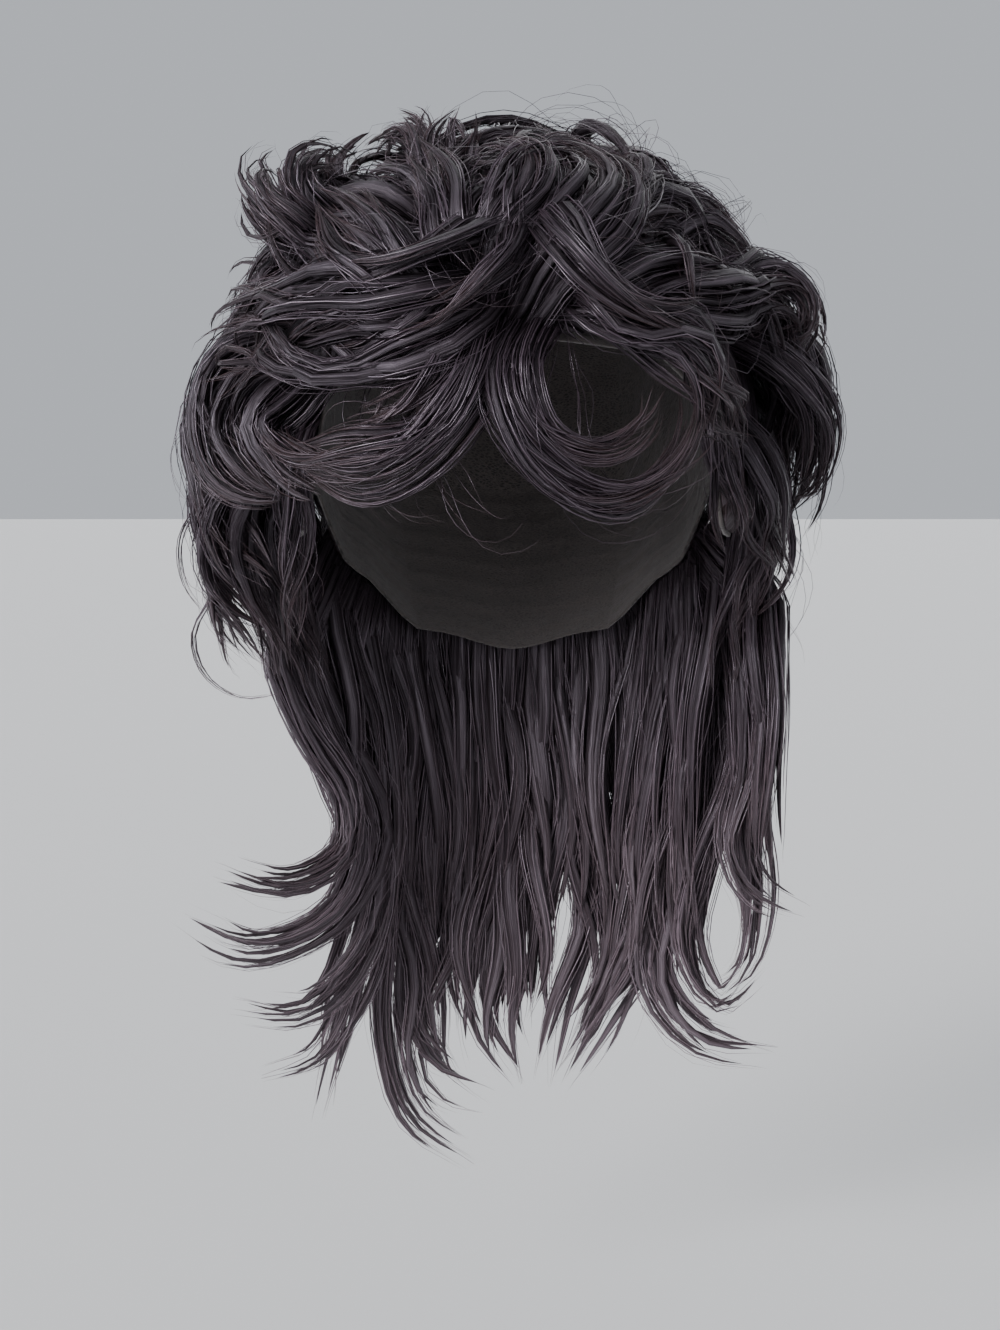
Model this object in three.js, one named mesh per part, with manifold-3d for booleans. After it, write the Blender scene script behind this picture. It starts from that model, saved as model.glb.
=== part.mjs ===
// A mullet wig: a thin stretch cap worn on the head, with short curls on the crown, a swept fringe and a
// ring curl over the forehead, wavy sides and long flipped locks that fall from the nape.
// Millimetres, +Z up. The origin is the inside of the cap at the top of the head. The face opening looks
// along -Y, and left and right are as seen from the front, so +X is right.
import * as THREE from "three";
import { mergeVertices } from "three/addons/utils/BufferGeometryUtils.js";
import Module from "manifold-3d";

// The head that the cap fits
const HEAD_WIDTH = 156;
const HEAD_LENGTH = 194;
const CROWN_DROP = 100; // from the top of the head down to its widest level
const NAPE_DROP = 65; // from the widest level down to the nape edge
const NECK_END = 2.1; // how far down hair is still held off the neck
const NAPE_TAPER = 0.22; // share of the half-width lost between the widest level and the nape edge
const DOME_SQUARENESS = 2.3; // 2 is a true ellipsoid, and more is fuller at the shoulders of the dome

// The cap and the hair that is sewn to it
const CAP_WALL = 1.5;
const HAIR_GAP = 0.4; // clearance between any two pieces
const MAT_DEPTH = 10; // packed hair at the roots
const SEAM_GAP = 0.8; // between the root mats of neighbouring pieces, along the head

// How far the style reaches
const LIFT = 40; // one unit of a lock's lift off the head
const TAIL_DROP = 200; // from the nape edge down to a level of 3
const LOCK_WIDTH = 30;
const LOCK_DEPTH = 15;

// Facets
const LOCK_SIDES = 6;
const RING_SPACING = 24; // between the rings of a lock
const CAP_TURNS = 30;
const CAP_RINGS = 7;
const MAT_STEP_DEGREES = 15;
const MAT_ROWS = 3;

const wasm = await Module();
wasm.setup();
const radians = THREE.MathUtils.degToRad;

// The cap's free edge: turn in degrees from the front, and how far down the head it lies, where 1 is the
// widest level and 2 the nape. It dips in front of each ear, rises over the ear and falls to the nape.
const CAP_EDGE = [
  { turn: 0, down: 0.74 },
  { turn: 36, down: 0.76 },
  { turn: 54, down: 0.84 },
  { turn: 68, down: 1.26 },
  { turn: 80, down: 1.28 },
  { turn: 93, down: 1.0 },
  { turn: 108, down: 1.03 },
  { turn: 124, down: 1.5 },
  { turn: 148, down: 1.88 },
  { turn: 180, down: 2.0 },
];

// Where each root mat lies on the head: turns from and to, how far down it starts and ends, and its depth
// as a share of MAT_DEPTH. Sides and nape end a little inside the cap's edge, which EDGE stands for.
const EDGE = null;
const EDGE_MARGIN = 0.03;
const MATS = {
  crown: { turns: [0, 360], down: [0, 0.6], depth: 1.3 },
  fringe_ring: { turns: [0, 44], down: [0.6, EDGE], depth: 0.9 },
  fringe_sweep: { turns: [-44, 0], down: [0.6, EDGE], depth: 0.9 },
  side_right: { turns: [44, 116], down: [0.6, EDGE], depth: 1.3 },
  side_left: { turns: [-116, -44], down: [0.6, EDGE], depth: 1.3 },
  back_waves: { turns: [116, 244], down: [0.6, 1.14], depth: 1.5 },
  tail_right: { turns: [116, 149], down: [1.14, EDGE], depth: 1.2 },
  tail_back: { turns: [149, 211], down: [1.14, EDGE], depth: 1.2 },
  tail_left: { turns: [-149, -116], down: [1.14, EDGE], depth: 1.2 },
};

// Each lock leaves the mat at its root, given by turn and down, and runs through its route. A point of the
// route is turn, down and lift: degrees round the head from the front, how far down it, where 1 is the
// widest level, 2 the nape and 3 is TAIL_DROP lower, and how far off its surface, as a share of LIFT. Size
// is width and depth as shares of LOCK_WIDTH and LOCK_DEPTH.
const LOCKS = {
  crown: [
    { root: [-23, 0.55], size: [0.8, 1], route: [[-34, 0.57, 0.5], [-51, 0.57, 0.62], [-60, 0.56, 0.86], [-64, 0.5, 1.04]] },
    { root: [-36, 0.44], size: [0.9, 1], route: [[-47, 0.45, 0.5], [-58, 0.45, 0.6], [-58, 0.39, 0.74], [-48, 0.34, 0.76]] },
    { root: [-20, 0.42], size: [0.5, 0.7], route: [[-22, 0.34, 0.46], [-25, 0.29, 0.62], [-24, 0.25, 0.84]] },
    { root: [-3, 0.54], size: [1, 1.2], route: [[-8, 0.57, 0.46], [-4, 0.45, 0.46], [15, 0.33, 0.4], [34, 0.37, 0.34]] },
    { root: [12, 0.48], size: [0.9, 1.1], route: [[21, 0.51, 0.48], [33, 0.43, 0.5], [40, 0.36, 0.44], [31, 0.32, 0.34]] },
    { root: [35, 0.42], size: [1.2, 1.2], route: [[51, 0.46, 0.42], [64, 0.57, 0.46], [74, 0.68, 0.58]] },
    { root: [28, 0.56], size: [1, 1.2], route: [[39, 0.68, 0.44], [58, 0.67, 0.62], [71, 0.73, 0.78], [70, 0.82, 0.55]] },
    { root: [12, 0.57], size: [0.75, 0.9], route: [[20, 0.75, 0.5], [31, 0.81, 0.57], [42, 0.89, 0.5], [51, 0.98, 0.4]] },
    { root: [-8, 0.56], size: [1, 1.1], route: [[-22, 0.68, 0.56], [-39, 0.7, 0.66], [-57, 0.73, 0.8], [-69, 0.8, 0.9]] },
    { root: [-6, 0.58], size: [0.85, 1], route: [[-18, 0.78, 0.48], [-35, 0.8, 0.6], [-53, 0.78, 0.76], [-65, 0.87, 0.88]] },
    { root: [-44, 0.44], size: [1, 1.2], route: [[-55, 0.51, 0.56], [-71, 0.6, 0.6], [-81, 0.71, 0.78]] },
    { root: [-50, 0.2], size: [0.9, 1.1], route: [[-20, 0.22, 0.36], [18, 0.2, 0.4], [46, 0.27, 0.38], [58, 0.38, 0.36]] },
    { root: [30, 0.14], size: [0.9, 1], route: [[52, 0.24, 0.38], [62, 0.36, 0.44], [76, 0.48, 0.44], [86, 0.6, 0.48]] },
    { root: [-110, 0.16], size: [1, 1.1], route: [[-96, 0.29, 0.42], [-90, 0.43, 0.5], [-96, 0.6, 0.5], [-106, 0.7, 0.7]] },
    { root: [-160, 0.12], size: [1.1, 1.1], route: [[-135, 0.3, 0.4], [-124, 0.46, 0.48], [-122, 0.62, 0.5], [-114, 0.74, 0.68]] },
    { root: [110, 0.14], size: [1, 1.1], route: [[104, 0.3, 0.4], [98, 0.44, 0.48], [102, 0.6, 0.5], [97, 0.72, 0.66]] },
    { root: [150, 0.12], size: [1.1, 1.1], route: [[136, 0.3, 0.4], [127, 0.46, 0.48], [129, 0.62, 0.5], [121, 0.74, 0.7]] },
    { root: [176, 0.2], size: [1.2, 1.2], route: [[168, 0.36, 0.42], [158, 0.5, 0.5], [157, 0.66, 0.52], [147, 0.78, 0.72]] },
    { root: [-166, 0.26], size: [1.2, 1.2], route: [[-158, 0.42, 0.42], [-154, 0.56, 0.5], [-158, 0.68, 0.5], [-150, 0.82, 0.7]] },
    { root: [-176, 0.36], size: [1.1, 1.1], route: [[178, 0.52, 0.54], [172, 0.66, 0.54], [176, 0.78, 0.5], [168, 0.9, 0.72]] },
  ],
  fringe_ring: [
    { root: [4, 0.68], size: [0.42, 0.55], route: [[-3, 0.85, 0.4], [1, 0.95, 0.46], [9, 1.01, 0.48], [19, 1.06, 0.46], [30, 0.98, 0.44], [37, 0.91, 0.44], [40, 0.83, 0.38]] },
    { root: [10, 0.68], size: [0.3, 0.4], route: [[2, 0.83, 0.38], [6, 0.93, 0.41], [16, 0.96, 0.4], [25, 0.92, 0.4], [28, 0.85, 0.38]] },
  ],
  fringe_sweep: [
    { root: [-5, 0.66], size: [0.62, 0.7], route: [[-8, 0.85, 0.4], [-15, 0.94, 0.47], [-26, 0.98, 0.54], [-40, 0.97, 0.58], [-52, 0.93, 0.67]] },
    { root: [-14, 0.66], size: [0.3, 0.4], route: [[-14, 0.82, 0.42], [-21, 0.89, 0.43], [-32, 0.92, 0.47]] },
  ],
  side_right: [
    { root: [55, 0.82], size: [0.55, 0.6], route: [[52, 0.94, 0.22], [58, 1.09, 0.22], [62, 1.34, 0.2]] },
    { root: [66, 0.66], size: [0.6, 0.9], route: [[69, 0.8, 0.6], [75, 0.9, 0.8], [81, 1.0, 0.74], [77, 1.14, 0.46]] },
    { root: [82, 0.62], size: [1, 1.2], route: [[86, 0.74, 0.62], [92, 0.86, 0.83], [97, 0.97, 0.78], [98, 1.31, 0.66]] },
    { root: [64, 0.86], size: [0.8, 1], route: [[65, 0.98, 0.34], [72, 1.24, 0.44], [79, 1.58, 0.64]] },
    { root: [100, 0.74], size: [1.1, 1.2], route: [[107, 0.88, 0.52], [111, 1.06, 0.66], [109, 1.48, 0.6], [103, 1.86, 0.95]] },
  ],
  side_left: [
    { root: [-64, 0.68], size: [1.15, 1.2], route: [[-70, 0.8, 0.72], [-70, 0.88, 0.86], [-66, 0.96, 0.74], [-57, 1.01, 0.52], [-49, 1.06, 0.4]] },
    { root: [-80, 0.74], size: [1, 1.1], route: [[-83, 0.86, 0.68], [-80, 0.96, 0.8], [-76, 1.18, 0.76], [-69, 1.42, 0.58], [-63, 1.56, 0.44]] },
    { root: [-95, 0.86], size: [1.15, 1.2], route: [[-92, 0.98, 0.66], [-90, 1.26, 0.82], [-88, 1.64, 0.92], [-83, 1.9, 0.84], [-79, 2.01, 0.66]] },
    { root: [-58, 0.86], size: [0.4, 0.5], route: [[-52, 0.97, 0.35], [-55, 1.24, 0.3], [-59, 1.64, 0.38], [-60, 1.87, 0.46]] },
    { root: [-100, 0.72], size: [1.1, 1.2], route: [[-109, 0.88, 0.52], [-112, 1.06, 0.64], [-109, 1.48, 0.58], [-103, 1.84, 0.88]] },
  ],
  back_waves: [
    { root: [178, 0.7], size: [1.2, 1.1], route: [[177, 0.84, 0.5], [174, 1.04, 0.58], [170, 1.5, 0.5], [164, 1.86, 0.8]] },
    { root: [154, 0.66], size: [1.2, 1.1], route: [[150, 0.82, 0.52], [147, 1.02, 0.6], [149, 1.5, 0.52], [143, 1.84, 0.84]] },
    { root: [-156, 0.68], size: [1.2, 1.1], route: [[-154, 0.82, 0.52], [-150, 1.04, 0.6], [-154, 1.56, 0.52], [-147, 1.9, 0.84]] },
    { root: [128, 0.66], size: [1.2, 1.2], route: [[127, 0.82, 0.52], [124, 1.0, 0.62], [127, 1.46, 0.54], [121, 1.78, 0.9]] },
    { root: [-129, 0.66], size: [1.2, 1.2], route: [[-129, 0.82, 0.52], [-126, 1.02, 0.62], [-129, 1.46, 0.54], [-124, 1.8, 0.9]] },
  ],
  tail_right: [
    { root: [119, 1.24], size: [0.8, 0.8], route: [[107, 1.62, 0.64], [94, 1.94, 0.76], [93, 2.11, 0.86], [97, 2.3, 0.86], [98, 2.43, 0.86]] },
    { root: [121, 1.34], size: [0.75, 0.8], route: [[110, 1.76, 0.62], [103, 2.02, 0.8], [105, 2.19, 0.77], [107, 2.35, 0.66], [102, 2.44, 0.84], [97, 2.48, 1.28]] },
    { root: [126, 1.34], size: [0.8, 0.8], route: [[118, 1.8, 0.7], [112, 2.08, 0.86], [112, 2.32, 0.94], [110, 2.48, 0.96], [110, 2.61, 0.83], [113, 2.66, 0.5]] },
    { root: [132, 1.44], size: [0.85, 0.85], route: [[124, 1.94, 0.72], [119, 2.14, 0.88], [124, 2.41, 0.7], [123, 2.59, 0.58], [117, 2.69, 0.75], [111, 2.61, 1.14]] },
    { root: [141, 1.48], size: [0.9, 0.85], route: [[135, 1.96, 0.7], [128, 2.18, 0.9], [134, 2.47, 0.66], [134, 2.66, 0.52], [124, 2.77, 0.72], [113, 2.8, 1.3]] },
  ],
  tail_back: [
    { root: [-153, 1.54], size: [0.85, 0.8], route: [[-155, 2.0, 0.62], [-155, 2.32, 0.64], [-153, 2.66, 0.66], [-156, 2.88, 0.46], [-172, 2.95, 0.1]] },
    { root: [-166, 1.54], size: [0.9, 0.8], route: [[-165, 2.0, 0.6], [-165, 2.32, 0.6], [-161, 2.62, 0.65], [-156, 2.78, 0.62], [-165, 2.88, 0.2]] },
    { root: [180, 1.6], size: [1, 0.9], route: [[180, 2.04, 0.6], [-179, 2.33, 0.58], [-176, 2.62, 0.57], [-174, 2.8, 0.48], [178, 2.92, 0.24]] },
    { root: [166, 1.54], size: [0.9, 0.8], route: [[165, 2.0, 0.6], [164, 2.32, 0.62], [158, 2.6, 0.63], [162, 2.79, 0.38], [168, 2.91, 0.12]] },
    { root: [153, 1.54], size: [0.85, 0.8], route: [[153, 2.0, 0.64], [151, 2.32, 0.74], [146, 2.6, 0.8], [152, 2.77, 0.5], [165, 2.89, 0.1]] },
  ],
  tail_left: [
    { root: [-119, 1.3], size: [0.85, 0.85], route: [[-106, 1.92, 0.7], [-106, 2.14, 0.49], [-109, 2.27, 0.16], [-107, 2.37, 0.18], [-99, 2.42, 0.6], [-92, 2.37, 1.28]] },
    { root: [-122, 1.44], size: [1, 1], route: [[-114, 2.0, 0.7], [-118, 2.2, 0.44], [-122, 2.36, 0.2], [-115, 2.5, 0.4], [-103, 2.55, 1.03], [-98, 2.47, 1.72]] },
    { root: [-128, 1.48], size: [0.9, 0.85], route: [[-120, 2.06, 0.68], [-130, 2.33, 0.36], [-127, 2.56, 0.34], [-117, 2.69, 0.72], [-107, 2.68, 1.34]] },
    { root: [-134, 1.54], size: [0.7, 0.75], route: [[-131, 2.1, 0.62], [-137, 2.4, 0.48], [-132, 2.68, 0.6], [-125, 2.82, 0.84], [-116, 2.85, 1.26]] },
    { root: [-138, 1.54], size: [0.7, 0.75], route: [[-138, 2.14, 0.6], [-140, 2.46, 0.58], [-134, 2.72, 0.84], [-128, 2.97, 0.98]] },
    { root: [-143, 1.6], size: [0.7, 0.75], route: [[-145, 2.18, 0.6], [-147, 2.54, 0.68], [-146, 2.8, 0.73], [-150, 2.98, 0.52], [-166, 3.07, 0.08]] },
  ],
};

const COLOURS = {
  cap: { color: 0x1b1513, roughness: 0.8 },
  hair: { color: 0x2a1e1d, roughness: 0.42 },
};

// The height of the head's outline at a level, and its share of the half size there. The neck goes on
// straight down from the nape.
function headOutline(down) {
  if (down <= 1) {
    const angle = radians(90 * Math.max(down, 0));
    const power = 2 / DOME_SQUARENESS;
    return { z: CROWN_DROP * (Math.max(Math.cos(angle), 0) ** power - 1), share: Math.sin(angle) ** power };
  }
  const below = Math.min(down - 1, 1);
  const tail = Math.max(down - 2, 0);
  return { z: -CROWN_DROP - NAPE_DROP * below - TAIL_DROP * tail, share: 1 - NAPE_TAPER * below * below };
}

function headPoint(turn, down) {
  const { z, share } = headOutline(down);
  const angle = radians(turn);
  const across = (HEAD_WIDTH / 2) * share * Math.sin(angle);
  const forward = (-HEAD_LENGTH / 2) * share * Math.cos(angle);
  return new THREE.Vector3(across, forward, z);
}

// The way out from the head: square to the dome, and level below its widest part
function outward(turn, down) {
  if (down < 1e-6) return new THREE.Vector3(0, 0, 1);
  const round = headPoint(turn + 1, down).sub(headPoint(turn - 1, down));
  if (down >= 1) return new THREE.Vector3(0, 0, -1).cross(round).normalize();
  const step = Math.min(1e-3, down);
  return headPoint(turn, down + step).sub(headPoint(turn, down - step)).cross(round).normalize();
}

function offHead(turn, down, out) {
  return headPoint(turn, down).addScaledVector(outward(turn, down), out);
}

// The cap's edge at a turn, eased between the rows of CAP_EDGE
function edgeDown(turn) {
  const t = Math.abs(((turn + 540) % 360) - 180);
  const next = Math.max(CAP_EDGE.findIndex((row) => row.turn >= t), 1);
  const [a, b] = [CAP_EDGE[next - 1], CAP_EDGE[next]];
  return a.down + (b.down - a.down) * THREE.MathUtils.smoothstep(t, a.turn, b.turn);
}

// A closed body from rings of points, with its first and last ring filled in
function ringedSolid(rings) {
  const sides = rings[0].length;
  const points = rings.flat();
  const faces = [];
  for (let r = 0; r + 1 < rings.length; r++) {
    for (let i = 0; i < sides; i++) {
      const [a, b] = [r * sides + i, r * sides + ((i + 1) % sides)];
      faces.push(a, b, b + sides, a, b + sides, a + sides);
    }
  }
  const last = (rings.length - 1) * sides;
  for (let i = 1; i + 1 < sides; i++) {
    faces.push(0, i + 1, i);
    faces.push(last, last + i, last + i + 1);
  }
  return solidFrom(points, faces);
}

// A solid of the boolean library from points and triangles, turned the right way out
function solidFrom(points, faces) {
  const geometry = new THREE.BufferGeometry().setFromPoints(points).setIndex(faces);
  const merged = mergeVertices(geometry, 1e-4);
  const index = Array.from(merged.index.array);
  const triVerts = [];
  for (let i = 0; i < index.length; i += 3) {
    const [a, b, c] = index.slice(i, i + 3);
    if (a !== b && b !== c && a !== c) triVerts.push(a, b, c);
  }
  const build = () =>
    new wasm.Manifold(
      new wasm.Mesh({
        numProp: 3,
        vertProperties: merged.attributes.position.array,
        triVerts: new Uint32Array(triVerts),
      }),
    );
  const made = build();
  if (made.volume() >= 0) return made;
  for (let i = 0; i < triVerts.length; i += 3) [triVerts[i + 1], triVerts[i + 2]] = [triVerts[i + 2], triVerts[i + 1]];
  return build();
}

// A wall over part of the head, between two distances off it. endDown gives its lower edge at each turn.
function headWall([from, to], startDown, endDown, rows, stepDegrees, inner, outer) {
  const whole = to - from >= 360;
  const columns = Math.max(2, Math.round((to - from) / stepDegrees));
  const points = [];
  const faces = [];
  const turns = whole ? columns : columns + 1;
  const at = (layer, row, column) => (layer * (rows + 1) + row) * turns + (whole ? column % turns : column);
  for (const out of [inner, outer]) {
    for (let row = 0; row <= rows; row++) {
      for (let column = 0; column < turns; column++) {
        const turn = from + ((to - from) * column) / columns;
        const down = startDown + ((endDown(turn) - startDown) * row) / rows;
        points.push(offHead(turn, down, out));
      }
    }
  }
  const quad = (a, b, c, d) => faces.push(a, b, c, a, c, d);
  for (let row = 0; row < rows; row++) {
    for (let column = 0; column < columns; column++) {
      quad(at(0, row, column), at(0, row + 1, column), at(0, row + 1, column + 1), at(0, row, column + 1));
      quad(at(1, row, column), at(1, row, column + 1), at(1, row + 1, column + 1), at(1, row + 1, column));
    }
    if (!whole) {
      quad(at(0, row, 0), at(1, row, 0), at(1, row + 1, 0), at(0, row + 1, 0));
      quad(at(1, row, columns), at(0, row, columns), at(0, row + 1, columns), at(1, row + 1, columns));
    }
  }
  for (let column = 0; column < columns; column++) {
    if (startDown > 0) quad(at(0, 0, column), at(0, 0, column + 1), at(1, 0, column + 1), at(1, 0, column));
    quad(at(0, rows, column), at(1, rows, column), at(1, rows, column + 1), at(0, rows, column + 1));
  }
  return solidFrom(points, faces);
}

// A lock's thickness along its length: it gathers at the root, is fullest in the first half and runs to a point
function lockSwell(along) {
  const gather = Math.min(1, 0.7 + along);
  return Math.max(gather * (1 - along ** 2.6) ** 0.75, 0.1);
}

// One lock, swept along its route with a flattened section. Its flat side faces the head at the root, and
// the section is carried along the route without twisting.
function lockSolid({ root, size, route }, grow) {
  const points = [offHead(...root, CAP_WALL + HAIR_GAP + MAT_DEPTH / 3)];
  for (const [turn, down, lift] of route) points.push(offHead(turn, down, lift * LIFT));
  const curve = new THREE.CatmullRomCurve3(points, false, "centripetal");
  const ringCount = Math.max(4, Math.round(curve.getLength() / RING_SPACING));
  let across = outward(...root).cross(curve.getTangentAt(0));
  const rings = [];
  for (let r = 0; r <= ringCount; r++) {
    const along = r / ringCount;
    const centre = curve.getPointAt(along);
    const tangent = curve.getTangentAt(along);
    across = across.addScaledVector(tangent, -across.dot(tangent)).normalize();
    const outer = tangent.clone().cross(across);
    const half = lockSwell(along) / 2;
    const width = LOCK_WIDTH * size[0] * half + grow;
    const depth = LOCK_DEPTH * size[1] * half + grow;
    const ring = [];
    for (let i = 0; i < LOCK_SIDES; i++) {
      const angle = (2 * Math.PI * i) / LOCK_SIDES;
      const point = centre.clone().addScaledVector(across, width * Math.cos(angle));
      ring.push(point.addScaledVector(outer, depth * Math.sin(angle)));
    }
    rings.push(ring);
  }
  return ringedSolid(rings);
}

// The head with the cap on it as one block, in the cap's own facets and wider by the gap that hair keeps.
// It goes on below the cap's edge, so that hair stays off the face, the ears and the top of the neck.
function headBlock() {
  const rings = [];
  for (let r = 0; r <= CAP_RINGS + 4; r++) {
    const ring = [];
    for (let i = 0; i < CAP_TURNS; i++) {
      const turn = (360 * i) / CAP_TURNS;
      const edge = edgeDown(turn);
      const down = r <= CAP_RINGS ? (edge * r) / CAP_RINGS : edge + ((NECK_END - edge) * (r - CAP_RINGS)) / 4;
      ring.push(offHead(turn, down, CAP_WALL + HAIR_GAP));
    }
    rings.push(ring);
  }
  return ringedSolid(rings);
}

// A piece's root mat and its locks, joined and cut clear of the head. grow swells them all by that distance.
function hairPiece(name, block, grow) {
  const { turns, down, depth } = MATS[name];
  const whole = turns[1] - turns[0] >= 360;
  const seam = SEAM_GAP / 2 - grow;
  const turnSeam = THREE.MathUtils.radToDeg(seam / (HEAD_WIDTH / 2));
  const downSeam = seam / CROWN_DROP;
  const mat = headWall(
    whole ? turns : [turns[0] + turnSeam, turns[1] - turnSeam],
    down[0] > 0 ? down[0] + downSeam : 0,
    (turn) => (down[1] === EDGE ? edgeDown(turn) - EDGE_MARGIN : down[1]) - downSeam,
    MAT_ROWS,
    MAT_STEP_DEGREES,
    CAP_WALL / 2,
    CAP_WALL + HAIR_GAP + MAT_DEPTH * depth + grow,
  );
  return LOCKS[name].reduce((all, row) => all.add(lockSolid(row, grow)), mat).subtract(block);
}

// The largest of the bodies that a cut leaves
function largestBody(solid) {
  return solid.decompose().reduce((best, body) => (body.volume() > best.volume() ? body : best));
}

function meshOf(name, solid, look) {
  const { numProp, vertProperties, triVerts, numVert } = solid.getMesh();
  const positions = new Float32Array(numVert * 3);
  for (let i = 0; i < numVert; i++) positions.set(vertProperties.subarray(i * numProp, i * numProp + 3), i * 3);
  const geometry = new THREE.BufferGeometry()
    .setAttribute("position", new THREE.BufferAttribute(positions, 3))
    .setIndex(new THREE.BufferAttribute(triVerts, 1));
  const mesh = new THREE.Mesh(geometry, new THREE.MeshStandardMaterial({ ...look, metalness: 0 }));
  mesh.name = name;
  return mesh;
}

// The stretch cap: one thin wall from the top of the head down to its shaped edge
function makeCap() {
  return headWall([0, 360], 0, edgeDown, CAP_RINGS, 360 / CAP_TURNS, 0, CAP_WALL);
}

// The outer pieces come first, and each later piece is cut clear of those before it
const ORDER = [
  "fringe_ring",
  "fringe_sweep",
  "crown",
  "side_left",
  "side_right",
  "back_waves",
  "tail_left",
  "tail_right",
  "tail_back",
];

const wig = new THREE.Group();
wig.name = "mullet_wig";
wig.add(meshOf("cap", makeCap(), COLOURS.cap));
const block = headBlock();
let taken = null;
for (const name of ORDER) {
  const piece = hairPiece(name, block, 0);
  const clear = taken ? largestBody(piece.subtract(taken)) : largestBody(piece);
  wig.add(meshOf(name, clear, COLOURS.hair));
  const swollen = hairPiece(name, block, HAIR_GAP);
  taken = taken ? taken.add(swollen) : swollen;
}

export default wig;
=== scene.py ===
import bpy
import numpy as np
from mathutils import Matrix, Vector


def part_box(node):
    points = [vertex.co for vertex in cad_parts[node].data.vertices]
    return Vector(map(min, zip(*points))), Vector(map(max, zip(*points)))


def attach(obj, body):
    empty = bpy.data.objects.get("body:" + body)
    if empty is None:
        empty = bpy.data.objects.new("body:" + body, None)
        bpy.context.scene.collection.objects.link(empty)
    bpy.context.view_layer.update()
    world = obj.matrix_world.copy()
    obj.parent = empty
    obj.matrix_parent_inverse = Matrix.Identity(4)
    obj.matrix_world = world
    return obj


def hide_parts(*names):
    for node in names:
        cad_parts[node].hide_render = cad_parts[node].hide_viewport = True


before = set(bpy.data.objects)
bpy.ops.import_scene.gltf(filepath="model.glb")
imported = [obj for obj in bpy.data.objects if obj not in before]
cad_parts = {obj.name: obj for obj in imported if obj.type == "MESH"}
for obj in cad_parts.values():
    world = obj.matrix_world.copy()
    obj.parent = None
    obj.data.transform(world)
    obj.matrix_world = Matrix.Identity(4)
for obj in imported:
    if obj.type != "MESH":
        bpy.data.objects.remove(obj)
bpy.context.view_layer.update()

# The cap
# A thin stretch cap, cut to the head and open at the face and underneath. Its net is knitted of fine
# dark yarn, rows of hair are machine-sewn along it as narrow tapes, and a soft tape binds the edge.
cap_low, cap_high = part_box("cap")
cap_wall = 0.0015
net_inner = 0.0009
net_outer = 0.0012
tape_count = 15
tape_height = 0.0012
binding_height = 0.0006
binding_start = 0.965
cap_depth = -cap_low[2]
head_width = cap_high[0] - cap_low[0] - 2 * cap_wall
head_length = 2 * (cap_high[1] - cap_wall)
crown_drop = 0.606 * cap_depth
nape_drop = cap_depth - crown_drop
nape_taper = 0.22
dome_squareness = 2.3
tail_drop = 0.2
cap_edge_turns = [0, 36, 54, 68, 80, 93, 108, 124, 148, 180]
cap_edge_downs = [0.74, 0.76, 0.84, 1.26, 1.28, 1.0, 1.03, 1.5, 1.88, 2.0]


def head_point(turn, down):
    """A point of the head: turn in degrees from the front, and down 0 at the top, 1 at the widest level,
    2 at the nape and 3 a tail's drop lower."""
    turn, down = np.broadcast_arrays(np.radians(turn), np.asarray(down, float))
    angle = np.radians(90 * np.clip(down, 0, 1))
    power = 2 / dome_squareness
    below = np.clip(down - 1, 0, 1)
    share = np.sin(angle) ** power - nape_taper * below**2
    z = crown_drop * (np.cos(angle).clip(0) ** power - 1) - nape_drop * below
    z = z - tail_drop * np.maximum(down - 2, 0)
    across = head_width / 2 * share * np.sin(turn)
    forward = -head_length / 2 * share * np.cos(turn)
    return np.stack([across, forward, z], axis=-1)


def unit(vectors):
    return vectors / np.maximum(np.linalg.norm(vectors, axis=-1, keepdims=True), 1e-12)


def outward(turn, down):
    """The way out from the head: square to the dome, and level below its widest part."""
    turn, down = np.broadcast_arrays(np.asarray(turn, float), np.maximum(down, 0.004))
    around = head_point(turn + 1, down) - head_point(turn - 1, down)
    fall = head_point(turn, down + 0.001) - head_point(turn, down - 0.001)
    fall[down >= 1] = (0, 0, -1)
    return unit(np.cross(fall, around))


def off_head(turn, down, out):
    return head_point(turn, down) + outward(turn, down) * np.asarray(out)[..., None]


def edge_down(turn):
    """How far down the head the cap's free edge lies at a turn."""
    turn = np.abs((np.asarray(turn, float) + 540) % 360 - 180)
    row = np.clip(np.searchsorted(cap_edge_turns, turn), 1, len(cap_edge_turns) - 1)
    turns, downs = np.array(cap_edge_turns), np.array(cap_edge_downs)
    share = (turn - turns[row - 1]) / (turns[row] - turns[row - 1])
    return downs[row - 1] + (downs[row] - downs[row - 1]) * share**2 * (3 - 2 * share)


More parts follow.
